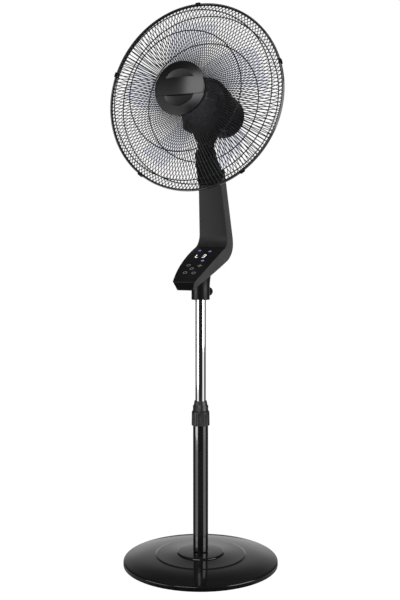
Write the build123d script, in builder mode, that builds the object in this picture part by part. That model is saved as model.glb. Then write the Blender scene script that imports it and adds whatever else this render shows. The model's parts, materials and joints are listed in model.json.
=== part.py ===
from build123d import *
import os
from math import atan2, cos, degrees, radians, sin, tan

# A pedestal fan: round weighted base, telescopic pole, bent neck with a touch panel, and a caged
# five-blade head that tilts and swings. Millimetres, +Z up. The fan blows towards -Y and the
# origin lies on the floor under the pole.

# Room between pieces
SLIP = 0.3  # round pieces that move past each other
SLIDE = 0.1  # telescopic fit, on the radius
RUN = 0.05  # turning pins and shafts, on the radius
SEAT = 0.1  # round pieces that are fixed in one another, on the radius
TOUCH = 0.05  # wires resting on their rings

# Base
FEET = 5
FOOT_R, FOOT_H, FOOT_INSET = 11.0, 4.0, 37.5
WEIGHT_T, WEIGHT_INSET, WEIGHT_CHAMFER = 5.0, 22.5, 1.2
BASE_R, BASE_WALL = 187.5, 3.0
EDGE_LIFT, EDGE_H = 3.0, 8.0
APRON_RISE, APRON_BULGE = 11.0, 1.8
STEP_R, STEP_RISE, STEP_DRAFT = 110.0, 1.5, 3.0
CROWN_RISE = 1.5
DISC_R, DISC_RISE, DISC_DRAFT = 58.0, 4.0, 2.0
EDGE_FILLET, STEP_FILLET = 4.0, 1.2
HUB_R = 30.0
SPIGOT_H = 27.0
BOLT_R, BOLT_HEAD_R, BOLT_HEAD_H, BOLT_REACH = 4.0, 8.0, 2.6, 24.0

# Pole
OUTER_R, OUTER_WALL = 17.5, 1.2
INNER_R, INNER_WALL = 12.7, 1.0
TRAVEL = 230.0  # of the inner tube, down from its highest place
SPIGOT_ROOM, SOCKET_ROOM = 7.4, 14.0  # left under the bush and the socket when it is down
COLLET_LEN, COLLET_FLANGE, COLLET_NOSE, COLLET_NOSE_DRAFT = 44.0, 2.0, 14.0, 1.6
COLLET_SLOTS, COLLET_SLOT_W = 4, 2.0
BUSH_H, BUSH_CHAMFER = 24.0, 1.0
COLLAR_GRIP, COLLAR_TAPER, COLLAR_SHOULDER = 35.0, 21.6, 3.0
COLLAR_R, COLLAR_DRAFT, COLLAR_NECK_R, COLLAR_MOUTH_R = 22.0, 1.0, 18.0, 14.8
COLLAR_FOOT_FILLET, COLLAR_MOUTH_FILLET = 1.0, 0.5
COLLAR_SKIRT = 23.0  # how far the collar reaches down over the outer tube
RIBS, RIB_GROOVE_W, RIB_GROOVE_D = 20, 2.6, 1.0

# Neck
SOCKET_R, SOCKET_WALL, SOCKET_H = 21.4, 2.4, 72.0
FLARE_R, FLARE_LIFT = 28.0, 28.0  # of the socket, where it meets the neck
SLEEVE_LIFT, SLEEVE_H = 2.0, 58.0
WIRE_WAY_R = 9.0
LIP_AHEAD, LIP_RISE = 98.7, 46.4  # the panel's front lip, from the pole axis and the socket's mouth
CHIN_BACK, CHIN_DROP = 10.7, 19.0
PANEL_LEN, PANEL_SLOPE = 197.9, 25.4
NECK_LEN, NECK_LEAN = 146.0, 9.7
BEND_R, REAR_BEND_R, LIP_FILLET = 28.0, 42.0, 3.0
BEND_BACK, BEND_DROP = 38.0, 20.0  # outer corner of the bend, from the inner one
TOP_BACK, TOP_RISE = 21.5, 40.0  # rear top edge of the neck, from the front one
CHIN_HALF, LIP_HALF, PANEL_HALF, BEND_HALF, TOP_HALF = 20.0, 27.0, 38.0, 34.0, 29.5
PANEL_WIDEST = 0.45  # share of the panel's height at which it is widest
NECK_WALL, COVER_T, COVER_GAP = 2.6, 2.6, 0.15
POST_R, POST_H = 3.0, 4.0
BOARD_T = 1.6
DISPLAY_L, DISPLAY_W = 92.0, 40.0
POWER_L, POWER_W, RELAY_H = 84.0, 40.0, 9.0
SCREW_LIFT = 17.4
SCREW_R, SCREW_BOSS_R, SCREW_BOSS_H = 3.0, 7.0, 3.6
KNOB_R, KNOB_H, KNOB_FLUTES, KNOB_FLUTE_R, KNOB_FILLET = 11.0, 18.0, 12, 1.3, 3.0

# Tilt hinge
TILT_AHEAD, TILT_RISE = 26.5, 68.0  # the hinge, from the front top edge of the neck
EAR_R, EAR_HALF, LUG_R, LUG_HALF, LUG_ROOM = 17.5, 20.0, 15.5, 11.0, 1.2
PIN_R, PIN_HEAD_R, PIN_HEAD_T = 5.0, 8.0, 3.0
HEAD_TILT = 7.0
SWING_AHEAD, FLANGE_RISE = 1.0, 29.4  # swing axis and its flange, from the tilt hinge
FLANGE_R, FLANGE_DEPTH, LUG_TOP_DROP = 20.0, 11.0, 4.0
STEM_R, STEM_LEN = 7.0, 19.0

# Head, along the fan axis from the plane of the guard's rim
RIM_AHEAD, AXIS_RISE = 84.2, 120.7  # rim centre, from the tilt hinge
SHIELD_BACK, SHIELD_FRONT, SHIELD_R, SHIELD_WALL = -100.0, -62.0, 60.0, 3.0
SHIELD_HALF, SHIELD_DROP, SHIELD_CORNER_R = 55.0, 60.0, 9.0
CASE_HALF, CASE_DEPTH, CASE_CORNER_R = 34.0, 36.0, 8.0
GEAR_MOTOR_R, GEAR_MOTOR_H, GEAR_SHAFT_R, GEAR_SHAFT_H = 16.0, 14.0, 3.0, 8.0
MOTOR_BACK, MOTOR_R, MOTOR_END_R, MOTOR_WALL = -205.0, 55.0, 52.0, 2.6
MOTOR_ROUND, MOTOR_FLANGE_T, MOTOR_LAP = 16.0, 3.0, 5.0
VENTS, VENT_W, VENT_IN_R, VENT_OUT_R = 16, 4.0, 18.0, 33.0
STATOR_FRONT, STATOR_LEN = -110.0, 40.0
COIL_IN_R, COIL_OUT_R, COIL_OVERHANG = 29.0, 44.0, 13.0
ROTOR_R, ROTOR_OVERHANG = 25.0, 3.0
BEARING_R, BEARING_T, BEARING_BOSS_WALL = 11.0, 8.0, 3.0
SHAFT_ROOM = 1.0
SHAFT_R, SHAFT_BACK, SHAFT_FRONT = 4.0, -196.0, 36.0
BOSS_R, BOSS_LEN = 24.0, 13.0
RING_NUT_R, RING_NUT_T, RING_NUT_NOTCHES, RING_NUT_NOTCH_R = 40.0, 9.0, 12, 3.5
DRIVE_PIN_R, DRIVE_PIN_HALF, DRIVE_SLOT_D = 1.5, 7.5, 4.0

# Blades
BLADES, BLADE_T = 5, 2.2
HUB_BLADE_R, HUB_BLADE_WALL, HUB_BACK, HUB_FRONT = 44.0, 2.6, -36.0, 24.0
HUB_BOSS_R, HUB_BOSS_BACK = 9.0, -20.0
TIP_ROOM, TIP_ROUND, TIP_ROUND_W = 44.0, 9.0, 18.0
ROOT_W, TIP_W, BLADE_HALF_DEPTH, CAMBER = 52.0, 96.0, 18.0, 7.0
BLADE_SWEEP, TIP_ANGLE = 28.0, 88.5
BLADE_ROOT_DEPTH, BLADE_SPANS, HUB_FILLET = 14.0, 3, 6.0
SPINNER_R, SPINNER_H, SPINNER_BORE, SPINNER_FILLET = 15.0, 20.0, 13.0, 6.0

# Guards: how far in from the rim and where along the axis each wire bends
WIRES, WIRE = 150, 1.8
FRONT_HUB_IN, FRONT_HUB_A = 6.0, 72.6  # the wire's inner end, in from the cap's edge
FRONT_MID_IN, FRONT_MID_A = 81.0, 56.0
FRONT_OUT_IN, FRONT_OUT_A = 21.0, 23.0
REAR_MID_IN, REAR_MID_A = 78.0, -52.0
REAR_OUT_IN, REAR_OUT_A = 20.0, -28.0
FRONT_HOOP_A, REAR_HOOP_A = 2.2, -4.2
PLATE_R, PLATE_T, PLATE_LAP = 82.0, 1.9, 10.0
HOOP_W, HOOP_T = 4.8, 3.0
RING_W = 2.4
RIM_R, RIM_T, RIM_HALF, RIM_LIP, RIM_LIP_T = 222.0, 3.0, 7.0, 1.6, 1.5
CLIPS, CLIP_ANGLE, CLIP_W, CLIP_T, CLIP_REACH, CLIP_OUT = 5, 18.0, 13.0, 2.2, 4.0, 3.5
CAP_R, CAP_BACK, CAP_EDGE, CAP_DOME, CAP_WALL = 62.0, 73.8, 5.0, 7.0, 2.6
CAP_BAR_TOP, CAP_BAR_FOOT = 23.0, 17.0
CAP_SCOOP_R, CAP_SCOOP_D, CAP_SCOOP_LIP = 57.0, 5.5, 1.2
CAP_PLATE_R, CAP_PLATE_T = 60.0, 2.5
CAP_POST_R, CAP_POST_RING_R, CAP_POSTS = 4.0, 40.0, 3

FAR = 400.0  # reach of cutting shapes past the neck


def inset(points, depth):
    # the corners of an open outline, moved to the right hand of its runs by the same depth
    corners = [Vector(*p) for p in points]
    runs = [(b - a).normalized() for a, b in zip(corners, corners[1:])]
    sides = [Vector(d.Y, -d.X) for d in runs]
    moved = [corners[0] + sides[0] * depth]
    for corner, one, two in zip(corners[1:], sides, sides[1:]):
        moved.append(corner + (one + two) * (depth / (1 + one.dot(two))))
    moved.append(corners[-1] + sides[-1] * depth)
    return [(v.X, v.Y) for v in moved]


def ring_under(bends, side):
    # where a support ring lies against the wire at each inner bend, with the slope of its section
    places = []
    for before, here, after in zip(bends, bends[1:], bends[2:]):
        one = (Vector(*here) - Vector(*before)).normalized()
        two = (Vector(*after) - Vector(*here)).normalized()
        along = (one + two).normalized()
        dip = RING_W / 2 * tan(radians(one.get_angle(two) / 2))
        depth = (WIRE + RING_W) / 2 + dip + TOUCH
        centre = Vector(*here) + Vector(-along.Y, along.X) * (side * depth)
        places.append(((centre.X, centre.Y), degrees(atan2(along.Y, along.X))))
    return places


def ahead(point, distance, angle):
    # a point at a distance from another in a side view, the angle being up from +Y
    return point[0] + distance * cos(radians(angle)), point[1] + distance * sin(radians(angle))


# Heights of the base and the pole
weight_top = FOOT_H + WEIGHT_T
edge_top = EDGE_LIFT + EDGE_H
step_foot = edge_top + APRON_RISE
step_top = step_foot + STEP_RISE
disc_foot = step_top + CROWN_RISE
disc_top = disc_foot + DISC_RISE
spigot_top = disc_top + SPIGOT_H
outer_bore = OUTER_R - OUTER_WALL
outer_len = SPIGOT_H + SPIGOT_ROOM + TRAVEL + BUSH_H + 2 * SLIP + COLLET_LEN
outer_top = disc_top + outer_len
collet_foot = outer_top - COLLET_LEN
bush_top = collet_foot - 2 * SLIP
inner_foot = bush_top - BUSH_H
collar_foot = outer_top - COLLAR_SKIRT
collar_top = collar_foot + COLLAR_GRIP + COLLAR_SHOULDER + COLLAR_TAPER
socket_foot = collar_top + TRAVEL + SOCKET_ROOM
socket_top = socket_foot + SOCKET_H
sleeve_foot = socket_foot + SLEEVE_LIFT
sleeve_top = sleeve_foot + SLEEVE_H
sleeve_r = SOCKET_R - SOCKET_WALL - SEAT
screw_z = socket_foot + SCREW_LIFT

# Side view of the neck, as (Y, Z)
lip = (-LIP_AHEAD, socket_foot + LIP_RISE)
chin = (lip[0] + CHIN_BACK, lip[1] - CHIN_DROP)
bend = ahead(lip, PANEL_LEN, PANEL_SLOPE)
neck_up = 90 + NECK_LEAN
top_front = ahead(bend, NECK_LEN, neck_up)
top_rear = (top_front[0] + TOP_BACK, top_front[1] + TOP_RISE)
rear_bend = (bend[0] + BEND_BACK, bend[1] - BEND_DROP)
front_line = (chin, lip, bend, top_front)
rear_line = (top_rear, rear_bend, chin)
bend_turn = neck_up - PANEL_SLOPE
bend_start = BEND_R * tan(radians(bend_turn / 2))
panel_end = ahead(bend, -bend_start, PANEL_SLOPE)
tilt = (top_front[0] - TILT_AHEAD, top_front[1] + TILT_RISE)

# Frame of the head: x to its left side, y up and z forward along the fan axis
forward = Vector(0, -cos(radians(HEAD_TILT)), sin(radians(HEAD_TILT)))
upward = Vector(0, sin(radians(HEAD_TILT)), cos(radians(HEAD_TILT)))
hinge = Vector(0, *tilt)
rim_centre = hinge + forward * RIM_AHEAD + upward * AXIS_RISE
swing_foot = hinge + forward * SWING_AHEAD + upward * FLANGE_RISE
fan = Plane(origin=rim_centre, x_dir=(1, 0, 0), z_dir=forward)
section = Plane(origin=rim_centre, x_dir=(1, 0, 0), z_dir=-upward)  # radius across, place up
fan_axis = Axis(rim_centre, forward)
swing_section = Plane(origin=swing_foot, x_dir=(1, 0, 0), z_dir=forward)
swing_axis = Axis(swing_foot, upward)
swing_a = SWING_AHEAD - RIM_AHEAD  # swing axis, along the fan axis

# Bends of the guards' wires, as (radius, place along the fan axis)
tip_r = RIM_R - TIP_ROOM
hoop_r = RIM_R - RIM_T - SEAT - HOOP_W / 2
front_bends = (
    (CAP_R - FRONT_HUB_IN, FRONT_HUB_A),
    (RIM_R - FRONT_MID_IN, FRONT_MID_A),
    (RIM_R - FRONT_OUT_IN, FRONT_OUT_A),
    (hoop_r, FRONT_HOOP_A),
)
rear_bends = (
    (PLATE_R - PLATE_LAP, SHIELD_FRONT + PLATE_T + WIRE / 2 + TOUCH),
    (RIM_R - REAR_MID_IN, REAR_MID_A),
    (RIM_R - REAR_OUT_IN, REAR_OUT_A),
    (hoop_r, REAR_HOOP_A),
)

panel_mid = ahead(lip, (PANEL_LEN - bend_start) / 2, PANEL_SLOPE)
panel_face = Plane(
    origin=(0, *panel_mid),
    x_dir=(1, 0, 0),
    z_dir=(0, -sin(radians(PANEL_SLOPE)), cos(radians(PANEL_SLOPE))),
)
panel_joint = Plane(
    origin=(0, *panel_end),
    x_dir=(1, 0, 0),
    z_dir=(0, cos(radians(PANEL_SLOPE)), sin(radians(PANEL_SLOPE))),
)
neck_mid = ahead(bend, (NECK_LEN + bend_start) / 2, neck_up)
neck_face = Plane(
    origin=(0, *neck_mid),
    x_dir=(1, 0, 0),
    z_dir=(0, -cos(radians(NECK_LEAN)), -sin(radians(NECK_LEAN))),
)
stator_r = MOTOR_END_R - MOTOR_WALL - SEAT
lug_front, lug_rear = (
    (p.Y, p.Z) for p in (swing_foot + forward * LUG_R - upward * LUG_TOP_DROP,
                         swing_foot - forward * LUG_R - upward * LUG_TOP_DROP)
)

os.makedirs("parts", exist_ok=True)

# Base: rubber feet under a cast weight, with a moulded cover on the pole's hub
with BuildPart() as rubber_feet:
    with BuildSketch():
        with PolarLocations(BASE_R - FOOT_INSET, FEET, start_angle=90):
            Circle(FOOT_R)
    extrude(amount=FOOT_H)
rubber_feet.part.label = "rubber_feet"
export_step(rubber_feet.part, "parts/rubber_feet.step")

with BuildPart() as base_weight:
    with BuildSketch(Plane.XY.offset(FOOT_H)):
        Circle(BASE_R - WEIGHT_INSET)
        Circle(BOLT_R + SEAT, mode=Mode.SUBTRACT)
    extrude(amount=WEIGHT_T)
    chamfer(base_weight.edges().group_by(Axis.Z)[-1].sort_by(SortBy.RADIUS)[-1], WEIGHT_CHAMFER)
base_weight.part.label = "base_weight"
export_step(base_weight.part, "parts/base_weight.step")

with BuildPart() as base_cover:
    with BuildSketch(Plane.XZ) as cover_section:
        with BuildLine():
            apron_mid = (BASE_R + STEP_R) / 2
            edge = Line((BASE_R, EDGE_LIFT), (BASE_R, edge_top))
            apron_top = (apron_mid, edge_top + APRON_RISE / 2 + APRON_BULGE)
            apron = ThreePointArc(edge @ 1, apron_top, (STEP_R, step_foot))
            steps = FilletPolyline(
                apron @ 1,
                (STEP_R - STEP_DRAFT, step_top),
                (DISC_R, disc_foot),
                (DISC_R - DISC_DRAFT, disc_top),
                (outer_bore, disc_top),
                radius=STEP_FILLET,
            )
            Polyline(
                steps @ 1,
                (outer_bore, disc_top - BASE_WALL),
                (DISC_R - DISC_DRAFT - BASE_WALL, disc_top - BASE_WALL),
                (DISC_R - BASE_WALL, step_top - BASE_WALL),
                (STEP_R - STEP_DRAFT - BASE_WALL, step_top - BASE_WALL),
                (STEP_R - BASE_WALL, step_foot - BASE_WALL),
                (BASE_R - BASE_WALL, edge_top - BASE_WALL),
                (BASE_R - BASE_WALL, EDGE_LIFT),
                edge @ 0,
            )
        make_face()
        fillet(cover_section.vertices().group_by(Axis.X)[-1].sort_by(Axis.Y)[-1], EDGE_FILLET)
    revolve(axis=Axis.Z)
base_cover.part.label = "base_cover"
export_step(base_cover.part, "parts/base_cover.step")

with BuildPart() as base_hub:
    with BuildSketch(Plane.XY.offset(weight_top)):
        Circle(HUB_R)
    extrude(amount=disc_top - BASE_WALL - weight_top)
    with BuildSketch(Plane.XY.offset(disc_top - BASE_WALL)):
        Circle(outer_bore - SEAT)
    extrude(amount=BASE_WALL + SPIGOT_H)
    with BuildSketch(Plane.XY.offset(weight_top)):
        Circle(BOLT_R + SEAT)
    extrude(amount=spigot_top - weight_top, mode=Mode.SUBTRACT)
    chamfer(base_hub.edges().group_by(Axis.Z)[-1].sort_by(SortBy.RADIUS)[-1], OUTER_WALL)
base_hub.part.label = "base_hub"
export_step(base_hub.part, "parts/base_hub.step")

with BuildPart() as base_bolt:
    with BuildSketch(Plane.XY.offset(FOOT_H - BOLT_HEAD_H)):
        RegularPolygon(BOLT_HEAD_R, 6)
    extrude(amount=BOLT_HEAD_H)
    with BuildSketch(Plane.XY.offset(FOOT_H)):
        Circle(BOLT_R)
    extrude(amount=WEIGHT_T + BOLT_REACH)
base_bolt.part.label = "base_bolt"
export_step(base_bolt.part, "parts/base_bolt.step")

# Pole: black outer tube, collet and lock collar, chrome inner tube with its guide bush
with BuildPart() as outer_tube:
    with BuildSketch(Plane.XY.offset(disc_top)):
        Circle(OUTER_R)
        Circle(outer_bore, mode=Mode.SUBTRACT)
    extrude(amount=outer_len)
outer_tube.part.label = "outer_tube"
export_step(outer_tube.part, "parts/outer_tube.step")

collet_r = outer_bore - SEAT
nose_foot = outer_top + COLLET_FLANGE
nose_top = nose_foot + COLLET_NOSE
with BuildPart() as collet:
    with BuildSketch(Plane.XZ):
        with BuildLine():
            Polyline(
                (INNER_R + SLIDE, collet_foot),
                (collet_r, collet_foot),
                (collet_r, outer_top),
                (OUTER_R, outer_top),
                (OUTER_R, nose_foot),
                (collet_r, nose_foot),
                (collet_r - COLLET_NOSE_DRAFT, nose_top),
                (INNER_R + SLIDE, nose_top),
                close=True,
            )
        make_face()
    revolve(axis=Axis.Z)
    with BuildSketch(Plane.XY.offset(nose_foot)):
        with PolarLocations(0, COLLET_SLOTS):
            with Locations((OUTER_R / 2, 0)):
                Rectangle(OUTER_R, COLLET_SLOT_W)
    extrude(amount=COLLET_NOSE, mode=Mode.SUBTRACT)
collet.part.label = "collet"
export_step(collet.part, "parts/collet.step")

grip_top = collar_foot + COLLAR_GRIP
taper_foot = grip_top + COLLAR_SHOULDER
nose_room = collet_r + 2 * SLIP
with BuildPart() as lock_collar:
    with BuildSketch(Plane.XZ):
        with BuildLine():
            outside = FilletPolyline(
                (OUTER_R + SLIP, collar_foot),
                (COLLAR_R, collar_foot),
                (COLLAR_R - COLLAR_DRAFT, grip_top),
                (COLLAR_NECK_R, taper_foot),
                (COLLAR_MOUTH_R, collar_top),
                (INNER_R + 2 * SLIP, collar_top),
                radius=(COLLAR_FOOT_FILLET, COLLAR_SHOULDER / 2, COLLAR_SHOULDER / 2, COLLAR_MOUTH_FILLET),
            )
            Polyline(
                outside @ 1,
                (INNER_R + 2 * SLIP, nose_top + SLIP),
                (nose_room - COLLET_NOSE_DRAFT, nose_top + SLIP),
                (nose_room, nose_foot + SLIP),
                (OUTER_R + SLIP, nose_foot + SLIP),
                outside @ 0,
            )
        make_face()
    revolve(axis=Axis.Z)
    with BuildSketch(Plane.XY.offset(collar_foot)):
        with PolarLocations(COLLAR_R, RIBS):
            Rectangle(2 * RIB_GROOVE_D, RIB_GROOVE_W)
    extrude(amount=COLLAR_GRIP - COLLAR_SHOULDER, mode=Mode.SUBTRACT)
lock_collar.part.label = "lock_collar"
export_step(lock_collar.part, "parts/lock_collar.step")

with BuildPart() as inner_tube:
    with BuildSketch(Plane.XY.offset(inner_foot)):
        Circle(INNER_R)
        Circle(INNER_R - INNER_WALL, mode=Mode.SUBTRACT)
    extrude(amount=sleeve_top - inner_foot)
inner_tube.part.label = "inner_tube"
export_step(inner_tube.part, "parts/inner_tube.step")

with BuildPart() as guide_bush:
    with BuildSketch(Plane.XY.offset(inner_foot)):
        Circle(outer_bore - SLIDE)
        Circle(INNER_R + RUN, mode=Mode.SUBTRACT)
    extrude(amount=BUSH_H)
    rims = guide_bush.edges().filter_by(GeomType.CIRCLE)
    chamfer(rims.group_by(SortBy.RADIUS)[-1], BUSH_CHAMFER)
guide_bush.part.label = "guide_bush"
export_step(guide_bush.part, "parts/guide_bush.step")

# Neck: the whole bent form first, then its core behind the front covers and its hollow
with BuildPart() as neck_block:
    with BuildSketch(Plane.YZ):
        with BuildLine():
            face = FilletPolyline(*front_line, radius=(LIP_FILLET, BEND_R))
            back = FilletPolyline(*rear_line, radius=REAR_BEND_R)
            Line(face @ 1, back @ 0)
        make_face()
    extrude(amount=FAR, both=True)
    with BuildSketch(Plane.XZ):
        with BuildLine():
            widest_z = lip[1] + PANEL_WIDEST * (panel_end[1] - lip[1])
            Line((TOP_HALF, top_rear[1]), (BEND_HALF, panel_end[1]))
            ThreePointArc((BEND_HALF, panel_end[1]), (PANEL_HALF, widest_z), (LIP_HALF, lip[1]))
            Polyline((LIP_HALF, lip[1]), (CHIN_HALF, chin[1]), (0, chin[1]))
            Line((TOP_HALF, top_rear[1]), (0, top_rear[1]))
            mirror(about=Plane.YZ)
        make_face()
    extrude(amount=FAR, both=True, mode=Mode.INTERSECT)

panel_under = degrees(atan2(rear_bend[1] - chin[1], rear_bend[0] - chin[0]))
rear_up = degrees(atan2(top_rear[1] - rear_bend[1], top_rear[0] - rear_bend[0]))
chin_up = 90 + degrees(atan2(CHIN_BACK, CHIN_DROP))
core_line = (ahead(lip, -FAR, chin_up), lip, bend, ahead(bend, FAR, neck_up))
with BuildPart() as neck_core:
    with BuildSketch(Plane.YZ):
        with BuildLine():
            face = FilletPolyline(*inset(core_line, COVER_T), radius=(COVER_GAP, BEND_R + COVER_T))
            Polyline(face @ 1, (FAR, top_rear[1] + FAR), (FAR, chin[1] - FAR), face @ 0)
        make_face()
    extrude(amount=FAR, both=True)

with BuildPart() as neck_hollow:
    with BuildSketch(Plane.YZ):
        with BuildLine():
            face = FilletPolyline(*inset(core_line, COVER_T / 2), radius=(COVER_GAP, BEND_R + COVER_T / 2))
            Polyline(face @ 1, (FAR, top_rear[1] + FAR), (FAR, chin[1] - FAR), face @ 0)
        make_face()
        with BuildLine():
            long_rear = (ahead(top_rear, FAR, rear_up), rear_bend, ahead(rear_bend, -FAR, panel_under))
            back = FilletPolyline(*inset(long_rear, NECK_WALL), radius=REAR_BEND_R - NECK_WALL)
            Polyline(back @ 1, (-FAR, chin[1] - FAR), (-FAR, top_rear[1] + FAR), back @ 0)
        make_face(mode=Mode.INTERSECT)
    extrude(amount=FAR, both=True)
    with BuildSketch(Plane.XZ):
        with BuildLine():
            Polyline(
                (0, top_rear[1] + FAR),
                (TOP_HALF - NECK_WALL, top_rear[1] + FAR),
                (TOP_HALF - NECK_WALL, top_rear[1]),
                (BEND_HALF - NECK_WALL, panel_end[1]),
            )
            ThreePointArc(
                (BEND_HALF - NECK_WALL, panel_end[1]),
                (PANEL_HALF - NECK_WALL, widest_z),
                (LIP_HALF - NECK_WALL, lip[1]),
            )
            Polyline((LIP_HALF - NECK_WALL, lip[1]), (CHIN_HALF - NECK_WALL, chin[1]), (0, chin[1]))
            mirror(about=Plane.YZ)
        make_face()
    extrude(amount=FAR, both=True, mode=Mode.INTERSECT)

under_z = chin[1] - chin[0] * tan(radians(panel_under)) + NECK_WALL / 2
neck_under = Plane(
    origin=(0, 0, under_z),
    x_dir=(1, 0, 0),
    z_dir=(0, -sin(radians(panel_under)), cos(radians(panel_under))),
)
with BuildPart() as socket_flare:
    with BuildSketch(Plane.XY.offset(socket_foot + FLARE_LIFT)):
        Circle(SOCKET_R)
    with BuildSketch(neck_under):
        Circle(FLARE_R)
    loft()

with BuildPart() as neck_shell:
    add(neck_block.part)
    add(neck_core.part, mode=Mode.INTERSECT)
    add(neck_hollow.part, mode=Mode.SUBTRACT)
    with BuildSketch(Plane.XY.offset(socket_foot)):
        Circle(SOCKET_R)
    extrude(amount=SOCKET_H)
    add(socket_flare.part)
    with BuildSketch(Plane.XZ.offset(-SOCKET_R + SOCKET_WALL)):
        with Locations((0, screw_z)):
            Circle(SCREW_BOSS_R)
    extrude(amount=-SOCKET_WALL - SCREW_BOSS_H)
    with BuildSketch(Plane.XY.offset(socket_foot)):
        Circle(SOCKET_R - SOCKET_WALL)
    extrude(amount=SLEEVE_LIFT + SLEEVE_H, mode=Mode.SUBTRACT)
    with BuildSketch(Plane.XY.offset(sleeve_top)):
        Circle(WIRE_WAY_R)
    extrude(amount=socket_top - sleeve_top, mode=Mode.SUBTRACT)
    with BuildSketch(Plane.XZ):
        with Locations((0, screw_z)):
            Circle(SCREW_R + SLIP)
    extrude(amount=-FAR, mode=Mode.SUBTRACT)
neck_shell.part.label = "neck_shell"
export_step(neck_shell.part, "parts/neck_shell.step")

with BuildPart() as neck_cover:
    add(neck_block.part)
    add(neck_core.part, mode=Mode.SUBTRACT)
    split(bisect_by=panel_joint.offset(COVER_GAP), keep=Keep.TOP)
    with BuildSketch(neck_face.offset(-COVER_T)):
        with GridLocations(POWER_W - 4 * POST_R, POWER_L - 4 * POST_R, 2, 2):
            Circle(POST_R)
    extrude(amount=-POST_H)
neck_cover.part.label = "neck_cover"
export_step(neck_cover.part, "parts/neck_cover.step")

with BuildPart() as control_panel:
    add(neck_block.part)
    add(neck_core.part, mode=Mode.SUBTRACT)
    split(bisect_by=panel_joint.offset(-COVER_GAP), keep=Keep.BOTTOM)
    with BuildSketch(panel_face.offset(-COVER_T)):
        with GridLocations(DISPLAY_W - 4 * POST_R, DISPLAY_L - 4 * POST_R, 2, 2):
            Circle(POST_R)
    extrude(amount=-POST_H)
control_panel.part.label = "control_panel"
export_step(control_panel.part, "parts/control_panel.step")

with BuildPart() as display_board:
    with BuildSketch(panel_face.offset(-COVER_T - POST_H)):
        RectangleRounded(DISPLAY_W, DISPLAY_L, POST_R)
    extrude(amount=-BOARD_T)
display_board.part.label = "display_board"
export_step(display_board.part, "parts/display_board.step")

with BuildPart() as power_board:
    with BuildSketch(neck_face.offset(-COVER_T - POST_H)):
        RectangleRounded(POWER_W, POWER_L, POST_R)
    extrude(amount=-BOARD_T)
    with BuildSketch(neck_face.offset(-COVER_T - POST_H - BOARD_T)):
        with Locations((0, POWER_L / 4)):
            Rectangle(POWER_W / 2, POWER_L / 4)
    extrude(amount=-RELAY_H)
power_board.part.label = "power_board"
export_step(power_board.part, "parts/power_board.step")

with BuildPart() as socket_sleeve:
    with BuildSketch(Plane.XY.offset(sleeve_foot)):
        Circle(sleeve_r)
        Circle(INNER_R + SEAT, mode=Mode.SUBTRACT)
    extrude(amount=SLEEVE_H)
    with BuildSketch(Plane.XZ):
        with Locations((0, screw_z)):
            Circle(SCREW_R + SLIP)
    extrude(amount=-FAR, mode=Mode.SUBTRACT)
socket_sleeve.part.label = "socket_sleeve"
export_step(socket_sleeve.part, "parts/socket_sleeve.step")

knob_foot = SOCKET_R + SCREW_BOSS_H + SLIP
with BuildPart() as thumb_screw:
    with BuildSketch(Plane.XZ.offset(-INNER_R - SLIP)):
        with Locations((0, screw_z)):
            Circle(SCREW_R)
    extrude(amount=INNER_R + SLIP - knob_foot)
    with BuildSketch(Plane.XZ.offset(-knob_foot)):
        with Locations((0, screw_z)):
            Circle(KNOB_R)
    extrude(amount=-KNOB_H)
    fillet(thumb_screw.faces().sort_by(Axis.Y)[-1].edges(), KNOB_FILLET)
    with BuildSketch(Plane.XZ.offset(-knob_foot)):
        with Locations((0, screw_z)):
            with PolarLocations(KNOB_R, KNOB_FLUTES):
                Circle(KNOB_FLUTE_R)
    extrude(amount=-KNOB_H, mode=Mode.SUBTRACT)
thumb_screw.part.label = "thumb_screw"
export_step(thumb_screw.part, "parts/thumb_screw.step")

# Tilt hinge: a forked bracket on the neck, a pin with its nut, and the knuckle that nods on it
with BuildPart() as tilt_bracket:
    with BuildSketch(Plane.YZ):
        with BuildLine():
            CenterArc(tilt, EAR_R, 0, 360)
            Line(top_front, top_rear)
        make_hull()
    extrude(amount=TOP_HALF, both=True)
    with BuildSketch(Plane.XZ):
        with BuildLine():
            Polyline(
                (0, top_front[1] - EAR_R),
                (TOP_HALF, top_front[1] - EAR_R),
                (TOP_HALF, top_front[1] + TOP_RISE / 2),
                (EAR_HALF, tilt[1] - EAR_R / 2),
                (EAR_HALF, tilt[1] + 2 * EAR_R),
                (0, tilt[1] + 2 * EAR_R),
            )
            mirror(about=Plane.YZ)
        make_face()
    extrude(amount=FAR, both=True, mode=Mode.INTERSECT)
    with BuildSketch(Plane.YZ):
        with Locations(tilt):
            Circle(LUG_R + LUG_ROOM)
        with Locations((tilt[0], tilt[1] + EAR_R)):
            Rectangle(4 * EAR_R, 2 * EAR_R)
    extrude(amount=LUG_HALF + SLIP, both=True, mode=Mode.SUBTRACT)
    with BuildSketch(Plane.YZ):
        with Locations(tilt):
            Circle(PIN_R + RUN)
    extrude(amount=FAR, both=True, mode=Mode.SUBTRACT)
tilt_bracket.part.label = "tilt_bracket"
export_step(tilt_bracket.part, "parts/tilt_bracket.step")

with BuildPart() as tilt_pin:
    with BuildSketch(Plane.YZ.offset(-EAR_HALF)):
        with Locations(tilt):
            Circle(PIN_R)
    extrude(amount=2 * EAR_HALF + PIN_HEAD_T)
    with BuildSketch(Plane.YZ.offset(-EAR_HALF)):
        with Locations(tilt):
            Circle(PIN_HEAD_R)
    extrude(amount=-PIN_HEAD_T)
tilt_pin.part.label = "tilt_pin"
export_step(tilt_pin.part, "parts/tilt_pin.step")

with BuildPart() as tilt_nut:
    with BuildSketch(Plane.YZ.offset(EAR_HALF)):
        with Locations(tilt):
            RegularPolygon(PIN_HEAD_R, 6)
            Circle(PIN_R + RUN, mode=Mode.SUBTRACT)
    extrude(amount=PIN_HEAD_T)
tilt_nut.part.label = "tilt_nut"
export_step(tilt_nut.part, "parts/tilt_nut.step")

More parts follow.
